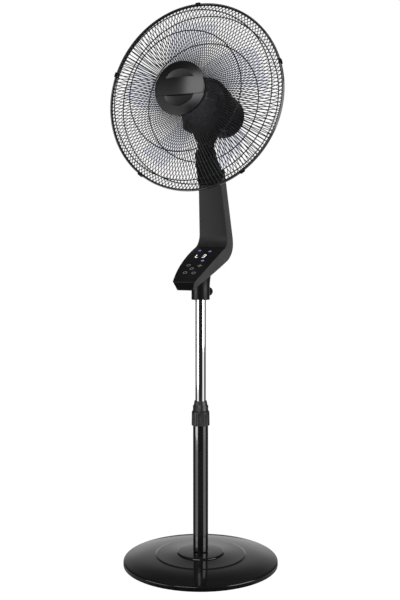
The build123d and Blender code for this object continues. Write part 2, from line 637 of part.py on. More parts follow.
with BuildPart() as tilt_knuckle:
    with BuildSketch(swing_section):
        with BuildLine():
            Polyline((0, 0), (FLANGE_R, 0), (FLANGE_R, -FLANGE_DEPTH), (0, -FLANGE_DEPTH), close=True)
        make_face()
    revolve(axis=swing_axis)
    with BuildSketch(Plane.YZ):
        with Locations(tilt):
            Circle(EAR_R + 2 * SLIP)
    extrude(amount=FAR, both=True, mode=Mode.SUBTRACT)
    with BuildSketch(Plane.YZ):
        with BuildLine():
            CenterArc(tilt, LUG_R, 0, 360)
            Line(lug_front, lug_rear)
        make_hull()
    extrude(amount=LUG_HALF, both=True)
    with BuildSketch(Plane.YZ):
        with Locations(tilt):
            Circle(PIN_R + RUN)
    extrude(amount=FAR, both=True, mode=Mode.SUBTRACT)
    with BuildSketch(swing_section):
        with BuildLine():
            stem_room = STEM_LEN + SLIP
            Polyline((0, 0), (STEM_R + RUN, 0), (STEM_R + RUN, -stem_room), (0, -stem_room), close=True)
        make_face()
    revolve(axis=swing_axis, mode=Mode.SUBTRACT)
tilt_knuckle.part.label = "tilt_knuckle"
export_step(tilt_knuckle.part, "parts/tilt_knuckle.step")

# Gear case of the swing drive, with its small motor, on a stem in the knuckle
case_top = AXIS_RISE - FLANGE_RISE - SHIELD_DROP  # over the knuckle
case_shift = swing_a - (SHIELD_FRONT + SHIELD_BACK) / 2
case_foot = Plane(origin=swing_foot, x_dir=(1, 0, 0), z_dir=upward)
with BuildPart() as gear_case:
    with BuildSketch(case_foot.offset(SLIP)):
        Circle(FLANGE_R)
    with BuildSketch(case_foot.offset(case_top)):
        with Locations((0, case_shift)):
            RectangleRounded(2 * CASE_HALF, CASE_DEPTH, CASE_CORNER_R)
    loft()
    with BuildSketch(case_foot.offset(SLIP)):
        Circle(STEM_R)
    extrude(amount=-STEM_LEN - SLIP)
    with BuildSketch(case_foot.offset(case_top)):
        with Locations((0, case_shift)):
            Circle(GEAR_MOTOR_R + SEAT)
    extrude(amount=-GEAR_MOTOR_H, mode=Mode.SUBTRACT)
    with BuildSketch(case_foot.offset(case_top - GEAR_MOTOR_H)):
        with Locations((0, case_shift)):
            Circle(GEAR_SHAFT_R + SEAT)
    extrude(amount=-GEAR_SHAFT_H, mode=Mode.SUBTRACT)
gear_case.part.label = "gear_case"
export_step(gear_case.part, "parts/gear_case.step")

with BuildPart() as swing_motor:
    with BuildSketch(case_foot.offset(case_top)):
        with Locations((0, case_shift)):
            Circle(GEAR_MOTOR_R)
    extrude(amount=-GEAR_MOTOR_H)
    with BuildSketch(case_foot.offset(case_top - GEAR_MOTOR_H)):
        with Locations((0, case_shift)):
            Circle(GEAR_SHAFT_R)
    extrude(amount=-GEAR_SHAFT_H)
swing_motor.part.label = "swing_motor"
export_step(swing_motor.part, "parts/swing_motor.step")

# Motor: front shield with the guard's boss, rear cover, stator, coils and bearings
shield_face = SHIELD_FRONT - SHIELD_WALL
with BuildPart() as motor_shield:
    with BuildSketch(fan.offset(SHIELD_BACK)):
        Circle(SHIELD_R)
        with Locations((0, -SHIELD_DROP / 2)):
            RectangleRounded(2 * SHIELD_HALF, SHIELD_DROP, SHIELD_CORNER_R)
    extrude(amount=SHIELD_FRONT - SHIELD_BACK)
    with BuildSketch(fan.offset(SHIELD_BACK)):
        Circle(SHIELD_R - SHIELD_WALL)
    extrude(amount=shield_face - SHIELD_BACK, mode=Mode.SUBTRACT)
    with BuildSketch(section):
        with BuildLine():
            Polyline(
                (BEARING_R + SEAT, shield_face),
                (BOSS_R, shield_face),
                (BOSS_R, SHIELD_FRONT + BOSS_LEN),
                (SHAFT_R + SHAFT_ROOM, SHIELD_FRONT + BOSS_LEN),
                (SHAFT_R + SHAFT_ROOM, shield_face + BEARING_T),
                (BEARING_R + SEAT, shield_face + BEARING_T),
                close=True,
            )
        make_face()
    revolve(axis=fan_axis)
    with BuildSketch(fan.offset(shield_face)):
        Circle(BEARING_R + SEAT)
    extrude(amount=BEARING_T, mode=Mode.SUBTRACT)
    with BuildSketch(fan.offset(shield_face)):
        Circle(SHAFT_R + SHAFT_ROOM)
    extrude(amount=SHIELD_WALL + BOSS_LEN, mode=Mode.SUBTRACT)
motor_shield.part.label = "motor_shield"
export_step(motor_shield.part, "parts/motor_shield.step")

rear_bearing_back = SHAFT_BACK
rear_face = MOTOR_BACK + MOTOR_WALL
boss_out = BEARING_R + SEAT + BEARING_BOSS_WALL
with BuildPart() as motor_cover:
    with BuildSketch(section):
        with BuildLine():
            outside = FilletPolyline(
                (SHIELD_R, SHIELD_BACK - MOTOR_FLANGE_T),
                (MOTOR_R, SHIELD_BACK - MOTOR_FLANGE_T),
                (MOTOR_END_R, MOTOR_BACK),
                (0, MOTOR_BACK),
                radius=(MOTOR_FLANGE_T / 2, MOTOR_ROUND),
            )
            Polyline(
                outside @ 1,
                (0, rear_bearing_back),
                (BEARING_R + SEAT, rear_bearing_back),
                (BEARING_R + SEAT, rear_bearing_back + BEARING_T),
                (boss_out, rear_bearing_back + BEARING_T),
                (boss_out, rear_face),
                (MOTOR_END_R - MOTOR_ROUND, rear_face),
                (MOTOR_END_R - MOTOR_WALL, MOTOR_BACK + MOTOR_ROUND),
                (stator_r + SEAT, STATOR_FRONT - STATOR_LEN),
                (stator_r + SEAT, SHIELD_BACK + MOTOR_LAP),
                (SHIELD_R - SHIELD_WALL - SEAT, SHIELD_BACK + MOTOR_LAP),
                (SHIELD_R - SHIELD_WALL - SEAT, SHIELD_BACK),
                (SHIELD_R, SHIELD_BACK),
                outside @ 0,
            )
        make_face()
    revolve(axis=fan_axis)
    with BuildSketch(fan.offset(MOTOR_BACK)):
        with PolarLocations((VENT_IN_R + VENT_OUT_R) / 2, VENTS):
            SlotOverall(VENT_OUT_R - VENT_IN_R, VENT_W)
    extrude(amount=MOTOR_WALL, mode=Mode.SUBTRACT)
motor_cover.part.label = "motor_cover"
export_step(motor_cover.part, "parts/motor_cover.step")

with BuildPart() as stator:
    with BuildSketch(fan.offset(STATOR_FRONT)):
        Circle(stator_r)
        Circle(ROTOR_R + SLIP, mode=Mode.SUBTRACT)
    extrude(amount=-STATOR_LEN)
stator.part.label = "stator"
export_step(stator.part, "parts/stator.step")

with BuildPart() as stator_coils:
    with BuildSketch(fan.offset(STATOR_FRONT)):
        Circle(COIL_OUT_R)
        Circle(COIL_IN_R, mode=Mode.SUBTRACT)
    extrude(amount=COIL_OVERHANG)
    with BuildSketch(fan.offset(STATOR_FRONT - STATOR_LEN)):
        Circle(COIL_OUT_R)
        Circle(COIL_IN_R, mode=Mode.SUBTRACT)
    extrude(amount=-COIL_OVERHANG)
stator_coils.part.label = "stator_coils"
export_step(stator_coils.part, "parts/stator_coils.step")

with BuildPart() as shaft_bearings:
    with BuildSketch(fan.offset(shield_face)):
        Circle(BEARING_R)
        Circle(SHAFT_R + RUN, mode=Mode.SUBTRACT)
    extrude(amount=BEARING_T)
    with BuildSketch(fan.offset(rear_bearing_back)):
        Circle(BEARING_R)
        Circle(SHAFT_R + RUN, mode=Mode.SUBTRACT)
    extrude(amount=BEARING_T)
shaft_bearings.part.label = "shaft_bearings"
export_step(shaft_bearings.part, "parts/shaft_bearings.step")

# What turns: shaft, rotor, drive pin, blades and the nut that holds them
pin_place = HUB_BOSS_BACK + DRIVE_SLOT_D / 2
with BuildPart() as motor_shaft:
    with BuildSketch(fan.offset(SHAFT_BACK + SLIP)):
        Circle(SHAFT_R)
    extrude(amount=SHAFT_FRONT - SHAFT_BACK - SLIP)
    with BuildSketch(Plane(origin=fan.offset(pin_place).origin, x_dir=upward, z_dir=(1, 0, 0))):
        Circle(DRIVE_PIN_R + RUN)
    extrude(amount=SHAFT_R, both=True, mode=Mode.SUBTRACT)
motor_shaft.part.label = "motor_shaft"
export_step(motor_shaft.part, "parts/motor_shaft.step")

with BuildPart() as drive_pin:
    with BuildSketch(Plane(origin=fan.offset(pin_place).origin, x_dir=upward, z_dir=(1, 0, 0))):
        Circle(DRIVE_PIN_R)
    extrude(amount=DRIVE_PIN_HALF, both=True)
drive_pin.part.label = "drive_pin"
export_step(drive_pin.part, "parts/drive_pin.step")

with BuildPart() as rotor:
    with BuildSketch(fan.offset(STATOR_FRONT + ROTOR_OVERHANG)):
        Circle(ROTOR_R)
        Circle(SHAFT_R + RUN, mode=Mode.SUBTRACT)
    extrude(amount=-STATOR_LEN - 2 * ROTOR_OVERHANG)
rotor.part.label = "rotor"
export_step(rotor.part, "parts/rotor.step")

blade_len = tip_r - HUB_BLADE_R
blade_root = HUB_BLADE_R - BLADE_ROOT_DEPTH
stations = [blade_root + (tip_r - TIP_ROUND - blade_root) * i / BLADE_SPANS for i in range(BLADE_SPANS + 1)]
with BuildPart() as blade:
    for radius, narrower in [(r, 0) for r in stations] + [(tip_r, TIP_ROUND_W)]:
        share = (radius - HUB_BLADE_R) / blade_len
        angle = radians(TIP_ANGLE + BLADE_SWEEP * (1 - share))
        half = (ROOT_W + (TIP_W - ROOT_W) * share - narrower) / 2
        rise = BLADE_HALF_DEPTH * half / (half + narrower / 2)
        outward = Vector(cos(angle), sin(angle))
        with BuildSketch(Plane(origin=outward * radius, x_dir=(-sin(angle), cos(angle), 0), z_dir=outward)):
            with BuildLine():
                ThreePointArc((-half, -rise), (0, -CAMBER), (half, rise))
                Line((half, rise), (half, rise + BLADE_T))
                ThreePointArc((half, rise + BLADE_T), (0, BLADE_T - CAMBER), (-half, BLADE_T - rise))
                Line((-half, BLADE_T - rise), (-half, -rise))
            make_face()
    loft()

with BuildPart(fan) as fan_blade:
    with BuildSketch(fan.offset(HUB_BACK)):
        Circle(HUB_BLADE_R)
    extrude(amount=HUB_FRONT - HUB_BACK)
    fillet(fan_blade.faces().sort_by(fan_axis)[-1].edges(), HUB_FILLET)
    with PolarLocations(0, BLADES):
        add(blade.part)
    with BuildSketch(fan.offset(HUB_BACK)):
        Circle(HUB_BLADE_R - HUB_BLADE_WALL)
    extrude(amount=HUB_FRONT - HUB_BLADE_WALL - HUB_BACK, mode=Mode.SUBTRACT)
    with BuildSketch(fan.offset(HUB_BOSS_BACK)):
        Circle(HUB_BOSS_R)
    extrude(amount=HUB_FRONT - HUB_BOSS_BACK)
    with BuildSketch(fan.offset(HUB_BOSS_BACK)):
        Circle(SHAFT_R + RUN)
    extrude(amount=HUB_FRONT - HUB_BOSS_BACK, mode=Mode.SUBTRACT)
    with BuildSketch(fan.offset(HUB_BOSS_BACK)):
        Rectangle(2 * HUB_BOSS_R, 2 * DRIVE_PIN_R + SEAT)
    extrude(amount=DRIVE_SLOT_D, mode=Mode.SUBTRACT)
fan_blade.part.label = "fan_blade"
export_step(fan_blade.part, "parts/fan_blade.step")

with BuildPart() as blade_nut:
    with BuildSketch(fan.offset(HUB_FRONT)):
        Circle(SPINNER_R)
    extrude(amount=SPINNER_H)
    fillet(blade_nut.faces().sort_by(fan_axis)[-1].edges(), SPINNER_FILLET)
    with BuildSketch(fan.offset(HUB_FRONT)):
        Circle(SHAFT_R + RUN)
    extrude(amount=SPINNER_BORE, mode=Mode.SUBTRACT)
blade_nut.part.label = "blade_nut"
export_step(blade_nut.part, "parts/blade_nut.step")

# Rear guard on the motor's boss, held by a ring nut
plate_front = SHIELD_FRONT + PLATE_T
with BuildPart() as rear_guard_plate:
    with BuildSketch(fan.offset(SHIELD_FRONT)):
        Circle(PLATE_R)
        Circle(BOSS_R + SEAT, mode=Mode.SUBTRACT)
    extrude(amount=PLATE_T)
rear_guard_plate.part.label = "rear_guard_plate"
export_step(rear_guard_plate.part, "parts/rear_guard_plate.step")

with BuildPart() as ring_nut:
    with BuildSketch(fan.offset(plate_front)):
        Circle(RING_NUT_R)
        with PolarLocations(RING_NUT_R, RING_NUT_NOTCHES):
            Circle(RING_NUT_NOTCH_R, mode=Mode.SUBTRACT)
        Circle(BOSS_R + SEAT, mode=Mode.SUBTRACT)
    extrude(amount=RING_NUT_T)
ring_nut.part.label = "ring_nut"
export_step(ring_nut.part, "parts/ring_nut.step")

with BuildPart() as rear_wire:
    with BuildLine(Plane.XZ) as run:
        Polyline(*rear_bends)
    with BuildSketch(Plane(origin=run.line @ 0, x_dir=(0, 1, 0), z_dir=run.line % 0)):
        Rectangle(WIRE, WIRE)
    sweep(path=run.line, transition=Transition.RIGHT)

with BuildPart(fan) as rear_guard:
    with BuildSketch(section):
        with Locations(rear_bends[-1]):
            Rectangle(HOOP_W, HOOP_T)
    revolve(axis=fan_axis)
    with PolarLocations(0, WIRES):
        add(rear_wire.part)
rear_guard.part.label = "rear_guard"
export_step(rear_guard.part, "parts/rear_guard.step")

with BuildPart() as rear_guard_rings:
    with BuildSketch(section):
        for place, slope in ring_under(rear_bends, 1):
            with Locations(place):
                Rectangle(RING_W, RING_W, rotation=slope)
    revolve(axis=fan_axis)
rear_guard_rings.part.label = "rear_guard_rings"
export_step(rear_guard_rings.part, "parts/rear_guard_rings.step")

# Front guard, joined to the rear one by a rim band and clips
with BuildPart() as front_wire:
    with BuildLine(Plane.XZ) as run:
        Polyline(*front_bends)
    with BuildSketch(Plane(origin=run.line @ 0, x_dir=(0, 1, 0), z_dir=run.line % 0)):
        Rectangle(WIRE, WIRE)
    sweep(path=run.line, transition=Transition.RIGHT)

with BuildPart(fan) as front_guard:
    with BuildSketch(section):
        with Locations(front_bends[-1]):
            Rectangle(HOOP_W, HOOP_T)
    revolve(axis=fan_axis)
    with PolarLocations(0, WIRES):
        add(front_wire.part)
front_guard.part.label = "front_guard"
export_step(front_guard.part, "parts/front_guard.step")

first_run = (Vector(*front_bends[1]) - Vector(*front_bends[0])).normalized()
hub_ring = Vector(*front_bends[0]) + first_run * RING_W
hub_ring += Vector(first_run.Y, -first_run.X) * ((WIRE + RING_W) / 2 + TOUCH)
hub_slope = degrees(atan2(first_run.Y, first_run.X))
with BuildPart() as front_guard_rings:
    with BuildSketch(section):
        for place, slope in ring_under(front_bends, -1) + [((hub_ring.X, hub_ring.Y), hub_slope)]:
            with Locations(place):
                Rectangle(RING_W, RING_W, rotation=slope)
    revolve(axis=fan_axis)
front_guard_rings.part.label = "front_guard_rings"
export_step(front_guard_rings.part, "parts/front_guard_rings.step")

rim_mid = (front_bends[-1][1] + rear_bends[-1][1]) / 2
rim_front, rim_back = rim_mid + RIM_HALF, rim_mid - RIM_HALF
with BuildPart() as guard_rim:
    with BuildSketch(section):
        with BuildLine():
            Polyline(
                (RIM_R - RIM_T - RIM_LIP, rim_back),
                (RIM_R, rim_back),
                (RIM_R, rim_front),
                (RIM_R - RIM_T - RIM_LIP, rim_front),
                (RIM_R - RIM_T - RIM_LIP, rim_front - RIM_LIP_T),
                (RIM_R - RIM_T, rim_front - RIM_LIP_T),
                (RIM_R - RIM_T, rim_back + RIM_LIP_T),
                (RIM_R - RIM_T - RIM_LIP, rim_back + RIM_LIP_T),
                close=True,
            )
        make_face()
    revolve(axis=fan_axis)
guard_rim.part.label = "guard_rim"
export_step(guard_rim.part, "parts/guard_rim.step")

with BuildPart() as clip:
    with BuildSketch(Plane.XZ):
        with Locations((RIM_R + CLIP_T, rim_mid)):
            Rectangle(2 * (CLIP_REACH + CLIP_T), 2 * (RIM_HALF + SEAT + CLIP_T))
        with Locations((RIM_R + CLIP_OUT, rim_mid)):
            Rectangle(4 * CLIP_REACH, 4 * RIM_HALF, align=(Align.MIN, Align.CENTER), mode=Mode.SUBTRACT)
    extrude(amount=CLIP_W / 2, both=True)
    with BuildSketch(Plane.XY.offset(rim_back - SEAT)):
        Circle(RIM_R + SEAT)
    extrude(amount=2 * (RIM_HALF + SEAT), mode=Mode.SUBTRACT)

with BuildPart(fan) as guard_clips:
    with PolarLocations(0, CLIPS, start_angle=CLIP_ANGLE):
        add(clip.part)
guard_clips.part.label = "guard_clips"
export_step(guard_clips.part, "parts/guard_clips.step")

# Front cap: a bar between two scooped pockets, screwed to a plate behind the hub ring
cap_edge = CAP_BACK + CAP_EDGE
cap_front = cap_edge + CAP_DOME
cap_floor = cap_front - CAP_SCOOP_D - CAP_WALL
plate_back = hub_ring.Y - RING_W - CAP_PLATE_T
with BuildPart() as cap_scoop:
    with BuildSketch(section):
        with BuildLine():
            pocket_edge = (CAP_SCOOP_R, cap_edge - CAP_SCOOP_LIP)
            pocket = TangentArc((0, cap_front - CAP_SCOOP_D), pocket_edge, tangent=(1, 0))
            Polyline(pocket @ 1, (CAP_SCOOP_R, cap_front + CAP_DOME), (0, cap_front + CAP_DOME), pocket @ 0)
        make_face()
    revolve(axis=fan_axis)
    with BuildSketch(fan.offset(CAP_BACK)):
        with Locations((0, (CAP_BAR_TOP - CAP_BAR_FOOT) / 2)):
            Rectangle(4 * CAP_R, CAP_BAR_TOP + CAP_BAR_FOOT)
    extrude(amount=4 * CAP_DOME, mode=Mode.SUBTRACT)

with BuildPart() as front_cap:
    with BuildSketch(section):
        with BuildLine():
            Polyline(
                (0, cap_front),
                (0, cap_floor),
                (CAP_R - CAP_WALL, cap_floor),
                (CAP_R - CAP_WALL, CAP_BACK),
                (CAP_R, CAP_BACK),
                (CAP_R, cap_edge),
            )
            TangentArc((0, cap_front), (CAP_R, cap_edge), tangent=(1, 0))
        make_face()
    revolve(axis=fan_axis)
    add(cap_scoop.part, mode=Mode.SUBTRACT)
    with BuildSketch(fan.offset(plate_back + CAP_PLATE_T)):
        with PolarLocations(CAP_POST_RING_R, CAP_POSTS, start_angle=90):
            Circle(CAP_POST_R)
    extrude(amount=cap_floor - plate_back - CAP_PLATE_T)
front_cap.part.label = "front_cap"
export_step(front_cap.part, "parts/front_cap.step")

with BuildPart() as cap_plate:
    with BuildSketch(fan.offset(plate_back)):
        Circle(CAP_PLATE_R)
    extrude(amount=CAP_PLATE_T)
cap_plate.part.label = "cap_plate"
export_step(cap_plate.part, "parts/cap_plate.step")
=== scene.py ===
import json
from math import acos, atan2, cos, hypot, pi, radians, sin, sqrt, tan, tau

import bpy
from mathutils import Matrix, Vector


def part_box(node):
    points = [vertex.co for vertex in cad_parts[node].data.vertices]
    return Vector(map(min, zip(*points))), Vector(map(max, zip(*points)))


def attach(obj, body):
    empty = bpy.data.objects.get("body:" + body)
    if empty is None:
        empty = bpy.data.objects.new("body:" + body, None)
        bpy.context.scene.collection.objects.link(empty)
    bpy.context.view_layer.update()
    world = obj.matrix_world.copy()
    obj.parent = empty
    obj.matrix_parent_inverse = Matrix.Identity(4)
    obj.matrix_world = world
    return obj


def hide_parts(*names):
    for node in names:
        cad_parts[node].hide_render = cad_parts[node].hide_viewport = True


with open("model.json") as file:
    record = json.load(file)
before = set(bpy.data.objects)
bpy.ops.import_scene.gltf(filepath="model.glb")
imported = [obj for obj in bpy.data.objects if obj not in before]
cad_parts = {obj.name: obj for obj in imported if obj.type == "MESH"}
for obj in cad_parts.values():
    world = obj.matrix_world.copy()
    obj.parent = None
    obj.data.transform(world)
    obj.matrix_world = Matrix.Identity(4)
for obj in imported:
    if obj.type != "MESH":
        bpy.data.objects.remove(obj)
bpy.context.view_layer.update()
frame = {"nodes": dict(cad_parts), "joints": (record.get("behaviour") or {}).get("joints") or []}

mm = 0.001  # sizes below are in millimetres unless a note says otherwise

joints = {joint["name"]: joint for joint in frame["joints"]}
fanCentre = Vector(joints["blade_spin"]["pos_m"])
fanForward = Vector(joints["blade_spin"]["axis"])
fanUp = fanForward.cross(Vector((1, 0, 0)))
headFrame = Matrix.Translation(fanCentre) @ Matrix(((1, 0, 0), fanUp, fanForward)).transposed().to_4x4()
print("frame loaded:", len(frame["nodes"]), "nodes")


# Small helpers for modelling

def clearSelection():
    if bpy.context.object and bpy.context.object.mode != "OBJECT":
        bpy.ops.object.mode_set(mode="OBJECT")
    bpy.ops.object.select_all(action="DESELECT")


def pickOnly(piece):
    clearSelection()
    piece.select_set(True)
    bpy.context.view_layer.objects.active = piece


def rename(piece, name):
    piece.name = piece.data.name = name
    return piece


def addMesh(kind, name, **settings):
    clearSelection()
    getattr(bpy.ops.mesh, f"primitive_{kind}_add")(**settings)
    return rename(bpy.context.object, name)


def editAll(piece):
    pickOnly(piece)
    bpy.ops.object.mode_set(mode="EDIT")
    bpy.ops.mesh.select_all(action="SELECT")


def leaveEdit():
    bpy.ops.object.mode_set(mode="OBJECT")


def tidyMesh(piece, merge=1e-6):
    editAll(piece)
    bpy.ops.mesh.remove_doubles(threshold=merge)
    bpy.ops.mesh.delete_loose()
    bpy.ops.mesh.select_all(action="SELECT")
    bpy.ops.mesh.normals_make_consistent(inside=False)
    leaveEdit()


def evenly(a, b, count):
    return [a + (b - a) * i / count for i in range(count + 1)]


def roundCorners(points, radii, steps=5, straight=1e-3):
    # a run of points with an arc at each inner corner, one radius each
    path = [Vector(points[0])]
    for before, corner, after, radius in zip(points, points[1:], points[2:], radii):
        corner = Vector(corner)
        one = (Vector(before) - corner).normalized()
        two = (Vector(after) - corner).normalized()
        half = acos(max(-1.0, min(1.0, one.dot(two)))) / 2
        if radius <= 0 or half > pi / 2 - straight:
            path.append(corner)
            continue
        reach = radius / tan(half)
        centre = corner + (one + two).normalized() * (radius / sin(half))
        start = corner + one * reach - centre
        turn = pi - 2 * half
        side = (corner + two * reach - centre - start * cos(turn)) / sin(turn)
        path += [centre + start * cos(angle) + side * sin(angle) for angle in evenly(0, turn, steps)]
    path.append(Vector(points[-1]))
    return path


def lathe(name, outline, turns, closed=True):
    # one vertex, extruded along an outline of (radius, height), which is then turned about +Z
    points = [Vector((r * mm, 0, z * mm)) for r, z in outline]
    if closed:
        points.append(points[0].copy())
    piece = addMesh("plane", name, size=mm)
    bpy.ops.object.mode_set(mode="EDIT")
    bpy.ops.mesh.select_mode(type="VERT")
    bpy.ops.mesh.select_all(action="SELECT")
    bpy.ops.mesh.merge(type="CENTER")
    bpy.ops.transform.translate(value=points[0])
    for here, there in zip(points, points[1:]):
        bpy.ops.mesh.extrude_vertices_move(TRANSFORM_OT_translate={"value": there - here})
    bpy.ops.mesh.select_all(action="SELECT")
    bpy.ops.mesh.spin(steps=turns, angle=tau, center=(0, 0, 0), axis=(0, 0, 1))
    leaveEdit()
    tidyMesh(piece)
    return piece


def useModifier(piece, kind, **settings):
    pickOnly(piece)
    modifier = piece.modifiers.new(kind.title(), kind)
    for key, value in settings.items():
        setattr(modifier, key, value)
    bpy.ops.object.modifier_apply(modifier=modifier.name)


def softenEdges(piece, width, segments=2, angle=35):
    useModifier(piece, "BEVEL", width=width * mm, segments=segments, limit_method="ANGLE",
                angle_limit=radians(angle), use_clamp_overlap=True)


def bevelWhere(piece, test, width, segments):
    # bevels the edges whose two ends pass the test
    pickOnly(piece)
    mesh = piece.data
    for element in (mesh.polygons, mesh.edges, mesh.vertices):
        for item in element:
            item.select = False
    for edge in mesh.edges:
        a, b = (mesh.vertices[i].co for i in edge.vertices)
        edge.select = test(a, b)
    bpy.ops.object.mode_set(mode="EDIT")
    bpy.ops.mesh.select_mode(type="EDGE")
    bpy.ops.mesh.bevel(offset=width * mm, segments=segments, affect="EDGES", clamp_overlap=True)
    leaveEdit()


def applyPlace(piece):
    # puts the place into the mesh and leaves the object at the origin
    pickOnly(piece)
    bpy.ops.object.transform_apply(location=True, rotation=True, scale=True)


def settle(piece, matrix):
    piece.matrix_world = matrix
    applyPlace(piece)


def joinPieces(pieces, name):
    pickOnly(pieces[0])
    for piece in pieces[1:]:
        piece.select_set(True)
    bpy.ops.object.join()
    return rename(pieces[0], name)


def spinCopies(piece, count):
    editAll(piece)
    bpy.ops.mesh.spin(steps=count - 1, dupli=True, angle=tau * (count - 1) / count,
                      center=(0, 0, 0), axis=(0, 0, 1))
    leaveEdit()


def boolean(piece, tool, operation):
    useModifier(piece, "BOOLEAN", operation=operation, object=tool, solver="MANIFOLD")
    bpy.data.objects.remove(tool)


def ribWave(vertex, ribs, power):
    # 1 in the middle of a groove between ribs about +Z, and 0 on a rib
    return ((1 + cos(ribs * atan2(vertex.co.y, vertex.co.x))) / 2) ** power


def dress(piece, finish, body, slot, *nodes, smooth=32):
    # finish, smooth shading, the body it rides on and the nodes that it stands for
    pickOnly(piece)
    bpy.ops.object.shade_smooth_by_angle(angle=radians(smooth))
    piece.data.materials.clear()
    piece.data.materials.append(finishes[finish])
    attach(piece, body)
    if nodes:
        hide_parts(*nodes)


def paintShadeAndLight(piece, finish, test):
    # a second finish on the faces that pass the test, for painted shade and painted light
    piece.data.materials.append(finishes[finish])
    for face in piece.data.polygons:
        if test(face):
            face.material_index = 1


def copyNode(node, name, width, merge=2e-6, flat=1.0):
    # a merged copy of a node with its corners softened
    clearSelection()
    piece = frame["nodes"][node].copy()
    piece.data = piece.data.copy()
    piece.parent = None
    for key in list(piece.keys()):
        del piece[key]
    rename(piece, name)
    bpy.context.scene.collection.objects.link(piece)
    editAll(piece)
    bpy.ops.mesh.remove_doubles(threshold=merge)
    bpy.ops.mesh.dissolve_limited(angle_limit=radians(flat))
    leaveEdit()
    softenEdges(piece, width)
    return piece


# Finishes

def feed(tree, node, inputs):
    # each input gets a value, or a link from the socket that is given for it
    for key, value in inputs.items():
        if isinstance(value, bpy.types.NodeSocket):
            tree.links.new(value, node.inputs[key])
        else:
            node.inputs[key].default_value = value


def addNode(tree, kind, inputs, **settings):
    node = tree.nodes.new("ShaderNode" + kind)
    for key, value in settings.items():
        setattr(node, key, value)
    feed(tree, node, inputs)
    return node


def addMath(tree, operation, *values):
    return addNode(tree, "Math", dict(enumerate(values)), operation=operation).outputs[0]


def addVector(tree, operation, *values, output="Vector"):
    node = addNode(tree, "VectorMath", dict(enumerate(values)), operation=operation)
    return node.outputs[output]


def addPlace(tree, kind="Object"):
    return addNode(tree, "TexCoord", {}).outputs[kind]


def addNoise(tree, scale, detail, roughness, stretch=None):
    place = addPlace(tree)
    if stretch:
        place = addNode(tree, "Mapping", {"Vector": place, "Scale": stretch}).outputs["Vector"]
    inputs = {"Vector": place, "Scale": scale, "Detail": detail, "Roughness": roughness}
    return addNode(tree, "TexNoise", inputs).outputs["Fac"]


def addRange(tree, value, source, target):
    inputs = {"Value": value, "From Min": source[0], "From Max": source[1],
              "To Min": target[0], "To Max": target[1]}
    return addNode(tree, "MapRange", inputs).outputs["Result"]


def addRamp(tree, factor, stops):
    # colour by a factor, through stops of (place, colour), where a number is a grey
    ramp = addNode(tree, "ValToRGB", {"Fac": factor})
    steps = ramp.color_ramp.elements
    while len(steps) < len(stops):
        steps.new(0.5)
    for step, (place, colour) in zip(steps, stops):
        step.position = place
    for step, (place, colour) in zip(steps, stops):
        step.color = (*colour, 1) if isinstance(colour, tuple) else (colour, colour, colour, 1)
    return ramp.outputs["Color"]


def newFinish(name):
    material = bpy.data.materials.new(name)
    material.use_nodes = True
    return material, material.node_tree, material.node_tree.nodes["Principled BSDF"]


plainLook = dict(metal=0.0, ior=1.45, specular=0.5, coat=0.0, coatRough=0.05, grainDepth=0.05, stretch=None,
                 # detail and roughness of the noises, and the part of the clouds that is used
                 cloudNoise=(4.0, 0.6), grainNoise=(2.0, 0.5), cloudRange=(0.3, 0.7))


def mouldedFinish(name, look):
    # plastic, paint or metal with clouded colour, uneven gloss and a fine grain
    material, tree, shader = newFinish(name)
    low, high = look["cloudRange"]
    clouds = addNoise(tree, look["clouds"], *look["cloudNoise"], look["stretch"])
    grain = addNoise(tree, look["grains"], *look["grainNoise"], look["stretch"])
    bump = addNode(tree, "Bump", {"Strength": look["grain"], "Distance": look["grainDepth"] * mm,
                                  "Height": grain})
    feed(tree, shader, {
        "Base Color": addRamp(tree, clouds, ((low, look["dark"]), (high, look["light"]))),
        "Roughness": addRange(tree, clouds, (low, high), look["rough"]),
        "Normal": bump.outputs["Normal"], "Metallic": look["metal"], "IOR": look["ior"],
        "Specular IOR Level": look["specular"], "Coat Weight": look["coat"],
        "Coat Roughness": look["coatRough"]})
    return material


